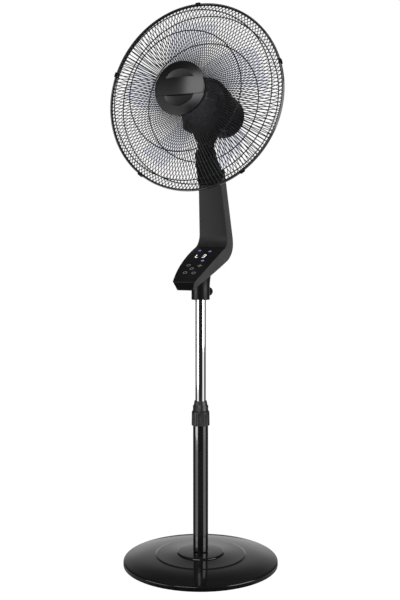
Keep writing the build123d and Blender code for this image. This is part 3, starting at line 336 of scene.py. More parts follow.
# columns of a look: two colours, where a number is a grey, roughness from and to, scale of the clouds, scale
# and strength of the grain; what follows takes the place of the same word in plainLook
lookColumns = ("dark", "light", "rough", "clouds", "grains", "grain")
finishLooks = {
    "baseGloss": ((0.006, 0.006, 0.0065), (0.009, 0.009, 0.0098), (0.07, 0.12), 9, 900, 0.03, {}),
    "tubeBlack": ((0.004, 0.004, 0.005), (0.006, 0.006, 0.007), (0.11, 0.16), 14, 1600, 0.02,
        dict(specular=1.0, coat=1.0)),
    "chromePlate": ((0.78, 0.775, 0.77), 0.86, (0.03, 0.06), 30, 300, 0.0,
        dict(metal=1.0, stretch=(1, 1, 0.04))),
    "collarBlack": ((0.012, 0.012, 0.013), (0.019, 0.019, 0.021), (0.28, 0.36), 40, 2200, 0.05, {}),
    "neckGrey": (0.019, 0.024, (0.46, 0.54), 22, 2400, 0.05, dict(specular=0.22)),
    # the neck's socket: a darker copy of the neck's grey, painted shade
    "socketShadedBlack": (0.006, 0.009, (0.3, 0.36), 22, 2400, 0.05, dict(specular=0.28)),
    # the neck shell: a lighter copy of the neck's grey, painted light for its side band lit from the right
    "shellLitGrey": (0.04, 0.052, (0.44, 0.52), 22, 2400, 0.05, {}),
    "panelGloss": ((0.009, 0.009, 0.0095), (0.012, 0.012, 0.0125), (0.12, 0.18), 18, 1400, 0.02,
        dict(specular=0.12)),
    # the panel's chin: a darker, duller copy of the panel's black, painted shade
    "chinShadedBlack": ((0.003, 0.003, 0.0032), (0.004, 0.004, 0.0042), (0.3, 0.36), 18, 1400, 0.02,
        dict(specular=0.05)),
    "motorBlack": ((0.003, 0.003, 0.0032), (0.0045, 0.0045, 0.0048), (0.4, 0.5), 26, 2200, 0.05,
        dict(specular=0.12)),
    "wireEnamel": ((0.008, 0.008, 0.009), (0.014, 0.014, 0.015), (0.2, 0.3), 45, 1500, 0.03,
        dict(specular=0.3)),
    "rimGloss": ((0.007, 0.007, 0.008), (0.011, 0.011, 0.012), (0.1, 0.15), 20, 1200, 0.04,
        dict(specular=1.0, coat=1.0)),
    # the rim's inner faces: a lighter grey than the black rim, painted light
    "rimInnerLitGrey": (0.09, 0.12, (0.45, 0.55), 20, 1200, 0.04, dict(specular=0.3)),
    "capSatin": (0.003, 0.005, (0.2, 0.24), 24, 2600, 0.04, {}),
    "rubberPad": (0.018, 0.03, (0.75, 0.9), 60, 1200, 0.4, {}),
    "castIron": ((0.02, 0.02, 0.021), (0.05, 0.05, 0.052), (0.55, 0.75), 35, 500, 0.6, dict(grainDepth=0.2)),
    "platedSteel": ((0.42, 0.42, 0.43), (0.58, 0.58, 0.59), (0.22, 0.36), 60, 900, 0.15, dict(metal=1.0)),
    "blackSteel": ((0.05, 0.05, 0.052), (0.08, 0.08, 0.083), (0.3, 0.42), 60, 900, 0.15, dict(metal=1.0)),
    "castAlloy": ((0.34, 0.34, 0.35), (0.48, 0.48, 0.49), (0.4, 0.55), 40, 700, 0.3, dict(metal=1.0)),
    "nylonWhite": ((0.62, 0.61, 0.57), (0.72, 0.71, 0.68), (0.4, 0.5), 40, 1500, 0.1, {}),
    "boardGreen": ((0.012, 0.09, 0.035), (0.03, 0.16, 0.07), (0.3, 0.42), 120, 800, 0.3, {}),
    "coreSteel": ((0.16, 0.16, 0.165), (0.3, 0.3, 0.31), (0.35, 0.5), 50, 1400, 0.4, dict(metal=1.0)),
    "coilCopper": ((0.45, 0.16, 0.06), (0.7, 0.32, 0.14), (0.25, 0.4), 90, 900, 0.5, dict(metal=1.0)),
}
finishes = {}
for name, (*look, more) in finishLooks.items():
    finishes[name] = mouldedFinish(name, plainLook | dict(zip(lookColumns, look)) | more)

bladeLook = dict(clouds=(12, 3.0, 0.5), tintLow=(0.9, 0.915, 0.955), tintHigh=(0.93, 0.94, 0.97),
                 gloss=(0.012, 0.013, 0.018), rough=(0.12, 0.2), solid=0.03, hubSolid=0.96,
                 hubEdge=(44.0, 47.0))


def smokeFinish(name, look):
    # clear smoke-blue plastic that lets the light through, deep black at the hub
    material, tree, shader = newFinish(name)
    clouds = addNoise(tree, *look["clouds"])
    feed(tree, shader, {"Base Color": (*look["gloss"], 1),
                        "Roughness": addRange(tree, clouds, (0, 1), look["rough"])})
    offset = addVector(tree, "SUBTRACT", addPlace(tree), fanCentre)
    across = addVector(tree, "CROSS_PRODUCT", offset, fanForward)
    reach = addVector(tree, "LENGTH", across, output="Value")
    hubEdge = [edge * mm for edge in look["hubEdge"]]
    solid = addRange(tree, reach, hubEdge, (look["hubSolid"], look["solid"]))
    tint = addRamp(tree, clouds, ((0, look["tintLow"]), (1, look["tintHigh"])))
    clear = addNode(tree, "BsdfTransparent", {"Color": tint})
    mix = addNode(tree, "MixShader", {"Fac": solid, 1: clear.outputs[0], 2: shader.outputs[0]})
    feed(tree, tree.nodes["Material Output"], {"Surface": mix.outputs[0]})
    return material


finishes["bladeSmoke"] = smokeFinish("bladeSmoke", bladeLook)

lampLook = dict(clouds=(400, 1.0, 0.55), dim=0.75, rough=0.4)
# colour and strength of the light
lampTones = dict(digitWhite=((0.92, 0.93, 0.95), 1.0), lampViolet=((0.2, 0.16, 0.42), 0.6),
                 signGrey=((0.2, 0.2, 0.2), 0.0))


def lampFinish(name, colour, strength):
    # printed sign or lit segment, a little uneven like a diffused lamp
    material, tree, shader = newFinish(name)
    patchy = addNoise(tree, *lampLook["clouds"])
    tint = addRamp(tree, patchy, ((0, tuple(c * lampLook["dim"] for c in colour)), (1, colour)))
    feed(tree, shader, {"Base Color": tint, "Roughness": lampLook["rough"]})
    if strength:
        feed(tree, shader, {"Emission Color": tint, "Emission Strength": strength})
    return material


for name, (colour, strength) in lampTones.items():
    finishes[name] = lampFinish(name, colour, strength)
print("finishes made:", len(finishes))


# Base: domed cover with two soft steps, cast weight, feet

baseCover = dict(edgeLift=0.2, edgeTop=11.0, shadedSideTilt=0.3, bulge=1.8, apronSteps=14, stepR=110.0,
                 stepFoot=22.0, stepTop=23.5, stepDraft=3.0, discR=58.0, discFoot=25.0, discTop=29.0,
                 discDraft=2.0, wall=3.0, innerDraft=6.0, boreR=16.3, turns=160,
                 # at the edge, then at foot and top of the step and of the disc
                 edgeFillet=4.0, fillets=(9.0, 9.0, 3.0, 3.6))


def makeBaseCover(edgeLift, edgeTop, shadedSideTilt, bulge, apronSteps, stepR, stepFoot, stepTop, stepDraft,
                  discR, discFoot, discTop, discDraft, wall, innerDraft, boreR, turns, edgeFillet, fillets):
    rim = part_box("base_cover")[1].x / mm
    apron = [(rim + (stepR - rim) * share, edgeTop + (stepFoot - edgeTop) * share + bulge * sin(pi * share))
             for share in evenly(0, 1, apronSteps)[1:-1]]
    steps = [(stepR, stepFoot), (stepR - stepDraft, stepTop), (discR, discFoot),
             (discR - discDraft, discTop)]
    outside = roundCorners([(rim, edgeLift), (rim, edgeTop), *apron[:2]], (edgeFillet, 0), steps=6)[:-1]
    outside += [Vector(p) for p in apron[1:]]
    outside += roundCorners([apron[-1], *steps, (boreR, discTop)], fillets)[1:]
    inside = [(boreR, discTop - wall), (discR - innerDraft, discTop - wall),
              (stepR - innerDraft, stepTop - wall), (rim - wall, edgeTop - wall), (rim - wall, edgeLift)]
    piece = lathe("baseCover", [*outside, *inside], turns)
    dress(piece, "baseGloss", "base", "base_gloss", "base_cover", smooth=40)
    # painted shade: the cover's steep side faces get a darker, duller finish than the rest of the same
    # glossy plastic
    paintShadeAndLight(piece, "motorBlack", lambda face: abs(face.normal.z) < shadedSideTilt)


makeBaseCover(**baseCover)
for node, name, width, finish, slot in (("rubber_feet", "rubberFeet", 1.0, "rubberPad", "rubber"),
                                        ("base_weight", "baseWeight", 0.6, "castIron", "base_iron"),
                                        ("base_bolt", "baseBolt", 0.3, "platedSteel", "steel")):
    dress(copyNode(node, name, width), finish, "base", slot, node)
print("base made")


# Pole: tapered foot on the black tube, ribbed collar, chrome tube

outerTube = dict(sleeve=0.8, footTaper=2.4, footDraft=1.6, footWall=0.6, footFillet=2.5, mouthFillet=0.4,
                 wall=1.2, turns=72)
innerTube = dict(wall=1.0, turns=72)
lockCollar = dict(ribs=20, grooveDepth=0.9, grip=33.0, shoulder=4.5, gripTop=21.3, neckR=18.2, mouthR=14.9,
                  boreR=13.3, boreLen=6.0, skirtR=18.6, roof=12.0, fillets=(1.2, 1.6, 1.4, 0.6), turns=240,
                  # the grooves: rows of points as shares of the grip, their first height, shape and ends
                  rows=(0.1, 0.3, 0.5, 0.7, 0.85), rowsFrom=4.0, power=3, fadeFrom=0.6, fadeFoot=1.2,
                  fadeTop=2.5, skin=1.5)


def poleSpan(low, high):
    # outer radius, foot and top of a piece about the pole's axis
    return high.x / mm, low.z / mm, high.z / mm


def makeOuterTube(sleeve, footTaper, footDraft, footWall, footFillet, mouthFillet, wall, turns):
    radius, foot, top = poleSpan(*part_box("outer_tube"))
    radius += sleeve
    outline = roundCorners([(radius - footDraft, foot), (radius, foot + footTaper), (radius, top),
                            (radius - wall, top)], (footFillet, mouthFillet))
    outline += [Vector((radius - wall, foot + footTaper)), Vector((radius - footDraft - footWall, foot))]
    dress(lathe("outerTube", outline, turns), "tubeBlack", "base", "tube_black", "outer_tube")


def makeInnerTube(wall, turns):
    radius, foot, top = poleSpan(*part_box("inner_tube"))
    outline = [(radius - wall, foot), (radius, foot), (radius, top), (radius - wall, top)]
    dress(lathe("innerTube", outline, turns), "chromePlate", "pole", "chrome", "inner_tube")


def makeCollar(ribs, grooveDepth, grip, shoulder, gripTop, neckR, mouthR, boreR, boreLen, skirtR, roof,
               fillets, turns, rows, rowsFrom, power, fadeFrom, fadeFoot, fadeTop, skin):
    radius, foot, top = poleSpan(*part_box("lock_collar"))
    gripEnd = foot + grip
    outside = roundCorners([(skirtR, foot), (radius, foot), (gripTop, gripEnd), (neckR, gripEnd + shoulder),
                            (mouthR, top), (boreR, top)], fillets, steps=4)
    place = next(i for i, p in enumerate(outside) if p.y > foot + rowsFrom)
    outside[place:place] = [Vector((radius + (gripTop - radius) * t, foot + grip * t)) for t in rows]
    collar = lathe("lockCollar", [*outside, (boreR, top - boreLen), (skirtR, top - roof)], turns)
    for vertex in collar.data.vertices:
        reach = hypot(vertex.co.x, vertex.co.y)
        height = vertex.co.z / mm - foot
        ends = (height - fadeFrom) / fadeFoot, (grip - height) / fadeTop
        fade = min(1.0, max(0.0, ends[0])) * min(1.0, max(0.0, ends[1]))
        if reach > (gripTop - skin) * mm and fade > 0:
            vertex.co.xy *= 1 - grooveDepth * mm * fade * ribWave(vertex, ribs, power) / reach
    dress(collar, "collarBlack", "collar", "collar_black", "lock_collar", smooth=50)


makeOuterTube(**outerTube)
makeInnerTube(**innerTube)
makeCollar(**lockCollar)
print("pole made")


# Neck: bent shell with its socket, front cover with the concave bend, gloss panel with lip and chin

neck = dict(lipAhead=98.7, lipRise=46.4, chinBack=10.7, chinDrop=20.5, panelLen=197.9, slope=26.7,
            neckLen=142.0, lean=9.7, bendR=28.0, rearR=60.0, bendBack=44.5, bendDrop=27.0, topBack=31.0,
            topRise=40.0, chinHalf=20.0, lipHalf=27.0, panelHalf=39.8, panelTopHalf=39.5, bendHalf=36.4,
            topHalf=27.0, widest=0.86, bulge=5.0, coverT=2.6, coverIn=0.05, gap=0.9, tongueIn=2.0,
            lipShare=0.14, rearFillet=2.5, sideFillet=1.0, lipFillet=2.4,
            # points of the runs, then how near a point counts as on a line
            bendSteps=10, panelSteps=12, neckSteps=3, onRear=0.05, onFront=0.02, onSeam=0.6, onLip=0.2,
            level=0.01, shortest=0.1)
neckSocket = dict(radius=22.0, wall=2.4, boreTop=60.0, flareR=25.5, flareFoot=28.0, flareTop=64.0,
                  flareBow=1.6, flareSteps=7, footFillet=0.9, skin=1.0, topShare=0.99, turns=96)
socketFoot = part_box("neck_shell")[0].z / mm


def goFrom(point, distance, angle):
    return Vector((point[0] + distance * cos(radians(angle)), point[1] + distance * sin(radians(angle))))


lip = Vector((-neck["lipAhead"], socketFoot + neck["lipRise"]))
chin = lip + Vector((neck["chinBack"], -neck["chinDrop"]))
bend = goFrom(lip, neck["panelLen"], neck["slope"])
neckUp = 90 + neck["lean"]
topFront = goFrom(bend, neck["neckLen"], neckUp)
topRear = topFront + Vector((neck["topBack"], neck["topRise"]))
rearBend = bend + Vector((neck["bendBack"], -neck["bendDrop"]))
bendReach = neck["bendR"] * tan(radians((neckUp - neck["slope"]) / 2))
panelEnd = goFrom(bend, -bendReach, neck["slope"])
bendTop = goFrom(bend, bendReach, neckUp)


def panelCurve(share):
    # the panel's gently domed run, from the lip (0) to its upper end (1)
    run = panelEnd - lip
    outwards = Vector((-run.y, run.x)).normalized()
    return lip + run * share + outwards * neck["bulge"] * 4 * share * (1 - share)


def arcThrough(points, height):
    # half width at a height on the arc through three (half width, height) points
    (x1, z1), (x2, z2), (x3, z3) = points
    s1, s2, s3 = (x ** 2 + z ** 2 for x, z in points)
    d = 2 * (x1 * (z2 - z3) + x2 * (z3 - z1) + x3 * (z1 - z2))
    cx = (s1 * (z2 - z3) + s2 * (z3 - z1) + s3 * (z1 - z2)) / d
    cz = (s1 * (x3 - x2) + s2 * (x1 - x3) + s3 * (x2 - x1)) / d
    radius = hypot(x1 - cx, z1 - cz)
    return cx + sqrt(max(0.0, radius ** 2 - (height - cz) ** 2))


def between(z, low, high, lowHalf, highHalf):
    return lowHalf + (highHalf - lowHalf) * (z - low) / (high - low)


def neckHalf(z):
    # half width of the neck at a height
    size = neck
    if z >= bendTop.y:
        return between(z, bendTop.y, topRear.y, size["bendHalf"], size["topHalf"])
    if z >= panelEnd.y:
        return between(z, panelEnd.y, bendTop.y, size["panelTopHalf"], size["bendHalf"])
    if z >= lip.y:
        widest = lip.y + size["widest"] * (panelEnd.y - lip.y)
        return arcThrough(((size["panelTopHalf"], panelEnd.y), (size["panelHalf"], widest),
                           (size["lipHalf"], lip.y)), z)
    return between(z, chin.y, lip.y, size["chinHalf"], size["lipHalf"])


def insetLine(points, depth):
    # an open run of points moved to the right hand of its direction
    runs = [(b - a).normalized() for a, b in zip(points, points[1:])]
    sides = [Vector((d.y, -d.x)) for d in runs]
    moved = [points[0] + sides[0] * depth]
    for corner, one, two in zip(points[1:], sides, sides[1:]):
        moved.append(corner + (one + two) * (depth / (1 + one.dot(two))))
    return moved + [points[-1] + sides[-1] * depth]


def slab(name, front, rear, trim=0.0):
    # a bar between a front and a rear run of (Y, Z) points, as wide as the neck is at each height
    piece = addMesh("plane", name, size=mm)
    mesh = piece.data

    def corners(ahead, behind):
        wide, narrow = neckHalf(ahead.y) - trim, neckHalf(behind.y) - trim
        places = ((-wide, *ahead), (wide, *ahead), (narrow, *behind), (-narrow, *behind))
        return [Vector(place) * mm for place in places]

    rows = [corners(ahead, behind) for ahead, behind in zip(front, rear)]
    for index, place in zip(list(mesh.polygons[0].vertices), rows[0]):
        mesh.vertices[index].co = place
    for previous, target in zip(rows, rows[1:]):
        bpy.ops.object.mode_set(mode="EDIT")
        bpy.ops.mesh.select_mode(type="FACE")
        bpy.ops.mesh.extrude_region()
        leaveEdit()
        cap = next(face for face in mesh.polygons if face.select)
        for index in cap.vertices:
            nearest = min(range(4), key=lambda k: (mesh.vertices[index].co - previous[k]).length)
            mesh.vertices[index].co = target[nearest]
    tidyMesh(piece, merge=1e-7)
    return piece


def makeSocket(radius, wall, boreTop, flareR, flareFoot, flareTop, flareBow, flareSteps, footFillet, skin,
               topShare, turns):
    # the pole's socket, flared where it meets the sloping underside of the neck
    bore = radius - wall
    low, high, roof = (socketFoot + rise for rise in (flareFoot, flareTop, boreTop))
    flare = [(radius + (flareR - radius) * t ** flareBow, low + (high - low) * t)
             for t in evenly(0, 1, flareSteps)]
    outline = roundCorners([(bore, socketFoot), (radius, socketFoot), flare[0]], (footFillet,), steps=4)[:-1]
    outline += [Vector(p) for p in (*flare, (0, high), (0, roof), (bore, roof))]
    socket = lathe("neckSocket", outline, turns)
    slope = (rearBend.y - chin.y) / (rearBend.x - chin.x)
    for vertex in socket.data.vertices:
        share = (vertex.co.z / mm - low) / (high - low)
        outside = hypot(vertex.co.x, vertex.co.y) > (bore + skin) * mm
        if share > 0 and (outside or share > topShare):
            underside = chin.y + (vertex.co.y / mm - chin.x) * slope + wall / 2
            vertex.co.z = (low + (underside - low) * share) * mm
    # the socket's darker finish is painted shade
    dress(socket, "socketShadedBlack", "pole", "neck_grey")


def alongRun(run, near):
    # a test for edges that follow a run of (Y, Z) points on one side of the neck
    def test(a, b):
        ends = [Vector((p.y, p.z)) / mm for p in (a, b)]
        close = all(min((q - r).length for r in run) < near for q in ends)
        return close and a.x * b.x > 0 and (a - b).length > neck["shortest"] * mm
    return test


def makeNeck():
    size = neck
    bendSteps, panelSteps, neckSteps = size["bendSteps"], size["panelSteps"], size["neckSteps"]
    bendPath = roundCorners([topFront, bend, lip], (size["bendR"],), bendSteps)[1:-1]
    front = evenly(topFront, bendPath[0], neckSteps)[:-1] + bendPath
    front += [panelCurve(share) for share in evenly(1, 0, panelSteps)[1:]]
    shellFront = insetLine(front, -size["coverT"])
    rearPath = roundCorners([topRear, rearBend, chin], (size["rearR"],), bendSteps)[1:-1]
    rear = evenly(topRear, rearPath[0], neckSteps)[:-1] + rearPath
    rear += evenly(rearPath[-1], chin, panelSteps)[1:]
    shellFront[-1] = lip + (chin - lip) * size["lipShare"] + Vector((size["coverT"], 0))
    shell = slab("neckShell", shellFront, rear)
    bevelWhere(shell, alongRun(rear, size["onRear"]), size["rearFillet"], segments=4)
    tongue = slab("neckTongue", insetLine(front, size["gap"] / 2 - size["coverT"]),
                  insetLine(front, -2 * size["coverT"]), size["tongueIn"])
    boolean(shell, tongue, "UNION")
    # the shell's lighter finish is painted light on its side band
    dress(shell, "shellLitGrey", "pole", "neck_grey", "neck_shell", smooth=30)

    split = next(i for i, p in enumerate(front) if (p - panelEnd).length < size["onSeam"])
    inner = insetLine(front, size["gap"] - size["coverT"])
    cover = slab("neckCover", front[:split + 1], inner[:split + 1], size["coverIn"])
    panelFront = front[split:] + evenly(lip, chin, 3)[1:]
    panelBack = insetLine(panelFront, size["gap"] - size["coverT"])
    shift = goFrom((0, 0), -2 * size["gap"], size["slope"])
    panelFront[0] = panelFront[0] + shift
    panelBack[0] = panelBack[0] + shift
    panel = slab("controlPanel", panelFront, panelBack, size["coverIn"])
    for piece, run in ((cover, front), (panel, panelFront)):
        bevelWhere(piece, alongRun(run, size["onFront"]), size["sideFillet"], segments=3)
    lipHeight = lip.y * mm

    def acrossLip(a, b):
        level = all(abs(p.z - lipHeight) < size["level"] * mm for p in (a, b))
        return level and abs(a.y - lip.x * mm) < size["onLip"] * mm and a.x * b.x < 0

    bevelWhere(panel, acrossLip, size["lipFillet"], segments=4)
    dress(cover, "neckGrey", "pole", "neck_grey", "neck_cover", smooth=30)
    dress(panel, "panelGloss", "pole", "panel_gloss", "control_panel", smooth=30)
    # painted shade: the faces below the lip get the darker chin finish
    paintShadeAndLight(panel, "chinShadedBlack", lambda face: face.center.z < lipHeight - size["lipFillet"] * mm)


makeNeck()
makeSocket(**neckSocket)
print("neck made")


# Signs on the touch panel: places are (across, up from the lip)

panelSigns = dict(lamps=((-18.1, 151.3), (10.9, 147.1), (12.4, 94.6)), lampR=4.0, lampPoints=24,
                  digits=((-10.7, 119.1), (5.8, 119.8)), digitSize=(10.0, 18.0), stroke=2.7, barGap=0.6,
                  barSide=0.55, tipFrom=0.4, ringR=5.2, ringT=2.0, ringPoints=28,
                  rings=((-14.5, 71.2), (-0.3, 56.0), (-10.3, 37.9), (12.1, 36.9)),
                  star=(14.8, 69.8), starR=8.0, starTips=4, starWaist=0.34, lift=0.12, thick=0.12,
                  edgeAngle=60)
digitBars = (("upperLeft", "lowerLeft", "foot"), ("top", "upperRight", "middle", "lowerRight", "foot"))
# a digit's seven bars: place as shares of its width and height, and whether the bar lies flat
barPlaces = dict(top=(0, 0.5, True), upperLeft=(-0.5, 0.25, False), upperRight=(0.5, 0.25, False),
                 middle=(0, 0, True), lowerLeft=(-0.5, -0.25, False), lowerRight=(0.5, -0.25, False),
                 foot=(0, -0.5, True))


def panelFrame(up, step=0.01):
    # place on the panel, this far up from the lip, with the panel's slope there
    share = up / (panelEnd - lip).length
    run = (panelCurve(share + step) - panelCurve(share - step)).normalized()
    along, normal = Vector((0, run.x, run.y)), Vector((0, -run.y, run.x))
    origin = Vector((0, *panelCurve(share))) * mm + normal * panelSigns["lift"] * mm
    return Matrix.Translation(origin) @ Matrix(((1, 0, 0), along, normal)).transposed().to_4x4()


def flatSign(name, piece, across, up, finish):
    rename(piece, name)
    useModifier(piece, "SOLIDIFY", thickness=panelSigns["thick"] * mm, offset=-1)
    softenEdges(piece, panelSigns["thick"] / 4, segments=1, angle=panelSigns["edgeAngle"])
    settle(piece, panelFrame(up) @ Matrix.Translation((across * mm, 0, 0)))
    dress(piece, finish, "pole", "panel_gloss")


def roundSign(points, radius):
    return addMesh("circle", "sign", vertices=points, radius=radius * mm, fill_type="NGON")


def ringSign(points, radius, stroke):
    piece = roundSign(points, radius)
    editAll(piece)
    bpy.ops.mesh.inset(thickness=stroke * mm, depth=0)
    bpy.ops.mesh.delete(type="FACE")
    leaveEdit()
    return piece


def segmentSign(lit, width, height, stroke):
    size, bars = panelSigns, []
    for bar in lit:
        across, up, flat = barPlaces[bar]
        piece = roundSign(points=6, radius=0.5)
        piece.location = (across * (width - stroke) * mm, up * (height - stroke) * mm, 0)
        piece.rotation_euler.z = 0 if flat else pi / 2
        length = (width - stroke) if flat else (height - stroke) / 2
        for vertex in piece.data.vertices:
            tip = abs(vertex.co.x) > size["tipFrom"] * mm
            vertex.co.x *= length - size["barGap"] if tip else 2 * (length - stroke) * size["barSide"]
            vertex.co.y *= stroke
        applyPlace(piece)
        bars.append(piece)
    return joinPieces(bars, "digit")


def starSign(tips, radius, waist):
    piece = roundSign(2 * tips, radius)
    for vertex in list(piece.data.vertices)[1::2]:
        vertex.co *= waist
    return piece


def makeSigns():
    size = panelSigns
    for index, place in enumerate(size["lamps"]):
        flatSign(f"panelLamp{index}", roundSign(size["lampPoints"], size["lampR"]), *place, "lampViolet")
    for index, (place, lit) in enumerate(zip(size["digits"], digitBars)):
        digit = segmentSign(lit, *size["digitSize"], size["stroke"])
        flatSign(f"panelDigit{index}", digit, *place, "digitWhite")
    for index, place in enumerate(size["rings"]):
        ring = ringSign(size["ringPoints"], size["ringR"], size["ringT"])
        flatSign(f"panelRing{index}", ring, *place, "signGrey")
    star = starSign(size["starTips"], size["starR"], size["starWaist"])
    flatSign("panelStar", star, *size["star"], "signGrey")


makeSigns()
print("panel signs made")


# Tilt hinge, thumb screw and motor: merged copies with soft corners

# the foot's face as (Y, Z) in the frame, how near a point counts as on it, and how the foot is changed
bracketFoot = dict(front=(55.47, 917.8), rear=(76.97, 957.8), near=2.6, deeper=14.0, inside=0.8)


def seatBracket(bracket, front, rear, near, deeper, inside):
    # the foot reaches down into the neck's open top, and is no wider than the neck there
    low, high = Vector(front), Vector(rear)
    along = (high - low).normalized()
    down = goFrom((0, 0), -1, neckUp)
    for vertex in bracket.data.vertices:
        place = Vector((vertex.co.y, vertex.co.z)) / mm
        widest = (neckHalf(place.y) - inside) * mm
        if place.y < high.y + near:
            vertex.co.x = max(-widest, min(widest, vertex.co.x))
        way = (place - low).dot(along)
        if abs((place - low).cross(along)) < near:
            vertex.co.yz += down * deeper * mm * max(0.0, way) / (high - low).length


hingeAndMotor = (
    ("tilt_bracket", "tiltBracket", 1.2, "motorBlack", "pole", "motor_black"),
    ("tilt_pin", "tiltPin", 0.5, "blackSteel", "pole", "steel"),
    ("tilt_nut", "tiltNut", 0.4, "blackSteel", "pole", "steel"),
    ("tilt_knuckle", "tiltKnuckle", 1.0, "motorBlack", "tilt", "motor_black"),
    ("gear_case", "gearCase", 1.2, "motorBlack", "head", "motor_black"),
    ("motor_shield", "motorShield", 1.6, "motorBlack", "head", "motor_black"),
    ("motor_cover", "motorCover", 0.5, "motorBlack", "head", "motor_black"),
    ("ring_nut", "ringNut", 0.6, "motorBlack", "head", "motor_black"),
    ("cap_plate", "capPlate", 0.5, "motorBlack", "head", "motor_black"),
    ("motor_shaft", "motorShaft", 0.3, "platedSteel", "spin", "steel"),
)
for node, name, width, finish, body, slot in hingeAndMotor:
    piece = copyNode(node, name, width)
    if node == "tilt_bracket":
        seatBracket(piece, **bracketFoot)
    dress(piece, finish, body, slot, node)

knob = dict(fillet=0.4, endLen=9.0, longer=8.0)
thumbScrew = copyNode("thumb_screw", "thumbScrew", knob["fillet"])
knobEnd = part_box("thumb_screw")[1].y
for vertex in thumbScrew.data.vertices:
    if vertex.co.y > knobEnd - knob["endLen"] * mm:
        vertex.co.y += knob["longer"] * mm
dress(thumbScrew, "motorBlack", "thumb_screw", "collar_black", "thumb_screw")
print("hinge and motor made")


# Blades on their hub, with the spinner nut

hubR, hubFront, shaftR = 44.0, 24.0, 4.1
blades = dict(count=5, rootDepth=8.0, tipR=176.4, tipRound=14.0, rootW=52.0, tipW=96.0, halfDepth=18.0,
              camber=7.0, sweep=28.0, tipAngle=88.5, thick=2.0, edgeSoft=0.7, edgeAngle=50, spans=26,
              chords=14)
bladeHub = dict(back=-36.0, fillet=7.0, edgeFillet=0.8, wall=2.6, sleeveR=9.0, sleeveBack=-20.0,
                sleeveFillets=(1.5, 0.5), turns=96)
spinner = dict(radius=15.0, length=20.0, bore=13.0, footFillet=0.6, fillet=6.5, ribs=12, ribDepth=0.8,
               power=4, skin=2.0, turns=96)


def makeBlades(count, rootDepth, tipR, tipRound, rootW, tipW, halfDepth, camber, sweep, tipAngle, thick,
               edgeSoft, edgeAngle, spans, chords):
    blade = addMesh("grid", "blade", x_subdivisions=spans, y_subdivisions=chords, size=2)
    root = hubR - rootDepth
    for vertex in blade.data.vertices:
        radius = root + (tipR - root) * (vertex.co.x + 1) / 2
        share = (radius - hubR) / (tipR - hubR)
        angle = radians(tipAngle + sweep * (1 - share))
        half = (rootW + (tipW - rootW) * share) / 2
        over = max(0.0, (radius - (tipR - tipRound)) / tipRound)
        side = vertex.co.y * (half - tipRound * (1 - sqrt(max(0.0, 1 - over ** 2))))
        rise = halfDepth * side / half - camber * (1 - (side / half) ** 2)
        outward = Vector((cos(angle), sin(angle), 0))
        tangent = Vector((-sin(angle), cos(angle), 0))
        vertex.co = (outward * radius + tangent * side + Vector((0, 0, rise + thick / 2))) * mm
    tidyMesh(blade)
    useModifier(blade, "SOLIDIFY", thickness=thick * mm, offset=0)
    softenEdges(blade, edgeSoft, segments=3, angle=edgeAngle)
    useModifier(blade, "SUBSURF", levels=1, render_levels=1)
    spinCopies(blade, count)
    return blade


def makeHub(back, fillet, edgeFillet, wall, sleeveR, sleeveBack, sleeveFillets, turns):
    inner, ceiling = hubR - wall, hubFront - wall
    outline = roundCorners([(shaftR, hubFront), (hubR, hubFront), (hubR, back), (inner, back),
                            (inner, ceiling), (sleeveR, ceiling), (sleeveR, sleeveBack),
                            (shaftR, sleeveBack)],
                           (fillet, edgeFillet, edgeFillet, fillet - wall, *sleeveFillets), steps=6)
    return lathe("bladeHub", outline, turns)


def makeSpinner(radius, length, bore, footFillet, fillet, ribs, ribDepth, power, skin, turns):
    tip = hubFront + length
    outline = roundCorners([(shaftR, hubFront), (radius, hubFront), (radius, tip), (0, tip)],
                           (footFillet, fillet), steps=7)
    outline += [Vector((0, hubFront + bore)), Vector((shaftR, hubFront + bore))]
    nut = lathe("bladeNut", outline, turns)
    for vertex in nut.data.vertices:
        reach = hypot(vertex.co.x, vertex.co.y)
        if reach > (radius - skin) * mm:
            vertex.co.xy *= 1 - ribDepth * mm * ribWave(vertex, ribs, power) / reach
    settle(nut, headFrame)
    dress(nut, "rimGloss", "spin", "nut_black", "blade_nut", smooth=45)


bladeSet = makeBlades(**blades)
fanBlade = joinPieces([makeHub(**bladeHub), bladeSet], "fanBlade")
settle(fanBlade, headFrame)
dress(fanBlade, "bladeSmoke", "spin", "blade_smoke", "fan_blade", smooth=40)
makeSpinner(**spinner)
print("blades made")


# Guards: round wires along smooth bends, their rings, the rim band and its clips

rimR, rimMiddle, rimHalf = 220.4, -1.0, 4.2
rimFront, rimBack = rimMiddle + rimHalf, rimMiddle - rimHalf
guards = dict(wires=150, wireR=0.95, ringR=1.3, hoopR=1.3, hoopIn=3.9, curveSteps=3, sides=8, turns=160)
# bends of a wire as (radius, place along the axis), the outer ones as ways in from the rim; hoop and rings
frontCage = dict(bends=((57.0, 72.4), (98.5, 65.8), (140.0, 56.4), (173.5, 42.5)),
                 outer=((18.5, 21.5), (3.9, 1.6)), hoop=0.4,
                 rings=((60.0, 71.9), (139.0, 56.0), (198.8, 22.0)))
rearCage = dict(bends=((54.0, -59.1), (100.0, -57.0), (145.0, -51.8), (176.5, -40.8)),
                outer=((17.0, -25.5), (3.9, -3.6)), hoop=-2.4, rings=((142.0, -51.6), (199.2, -27.2)))
rearPlate = dict(radius=64.0, bore=24.2, back=-62.0, thick=1.9, fillet=0.6, turns=96)
guardRim = dict(inner=rimR - 2.3, lip=0.5, lipT=1.5, groove=0.5, grooveHalf=0.8, inwards=-0.9, turns=192,
                fillets=(1.0, 0.4, 0.3, 0.4, 1.4, 1.2, 0.2, 0.2, 0.2))
guardClip = dict(count=5, angle=18.0, width=12.0, thick=1.4, out=2.2, inwards=4.0, soft=1.4, deep=20.0,
                 loose=0.1)


def roundWireRing(name, radius, place, thick):
    section = [(radius + thick * cos(turn), place + thick * sin(turn))
               for turn in evenly(0, tau, guards["sides"])[:-1]]
    return lathe(name, section, guards["turns"])


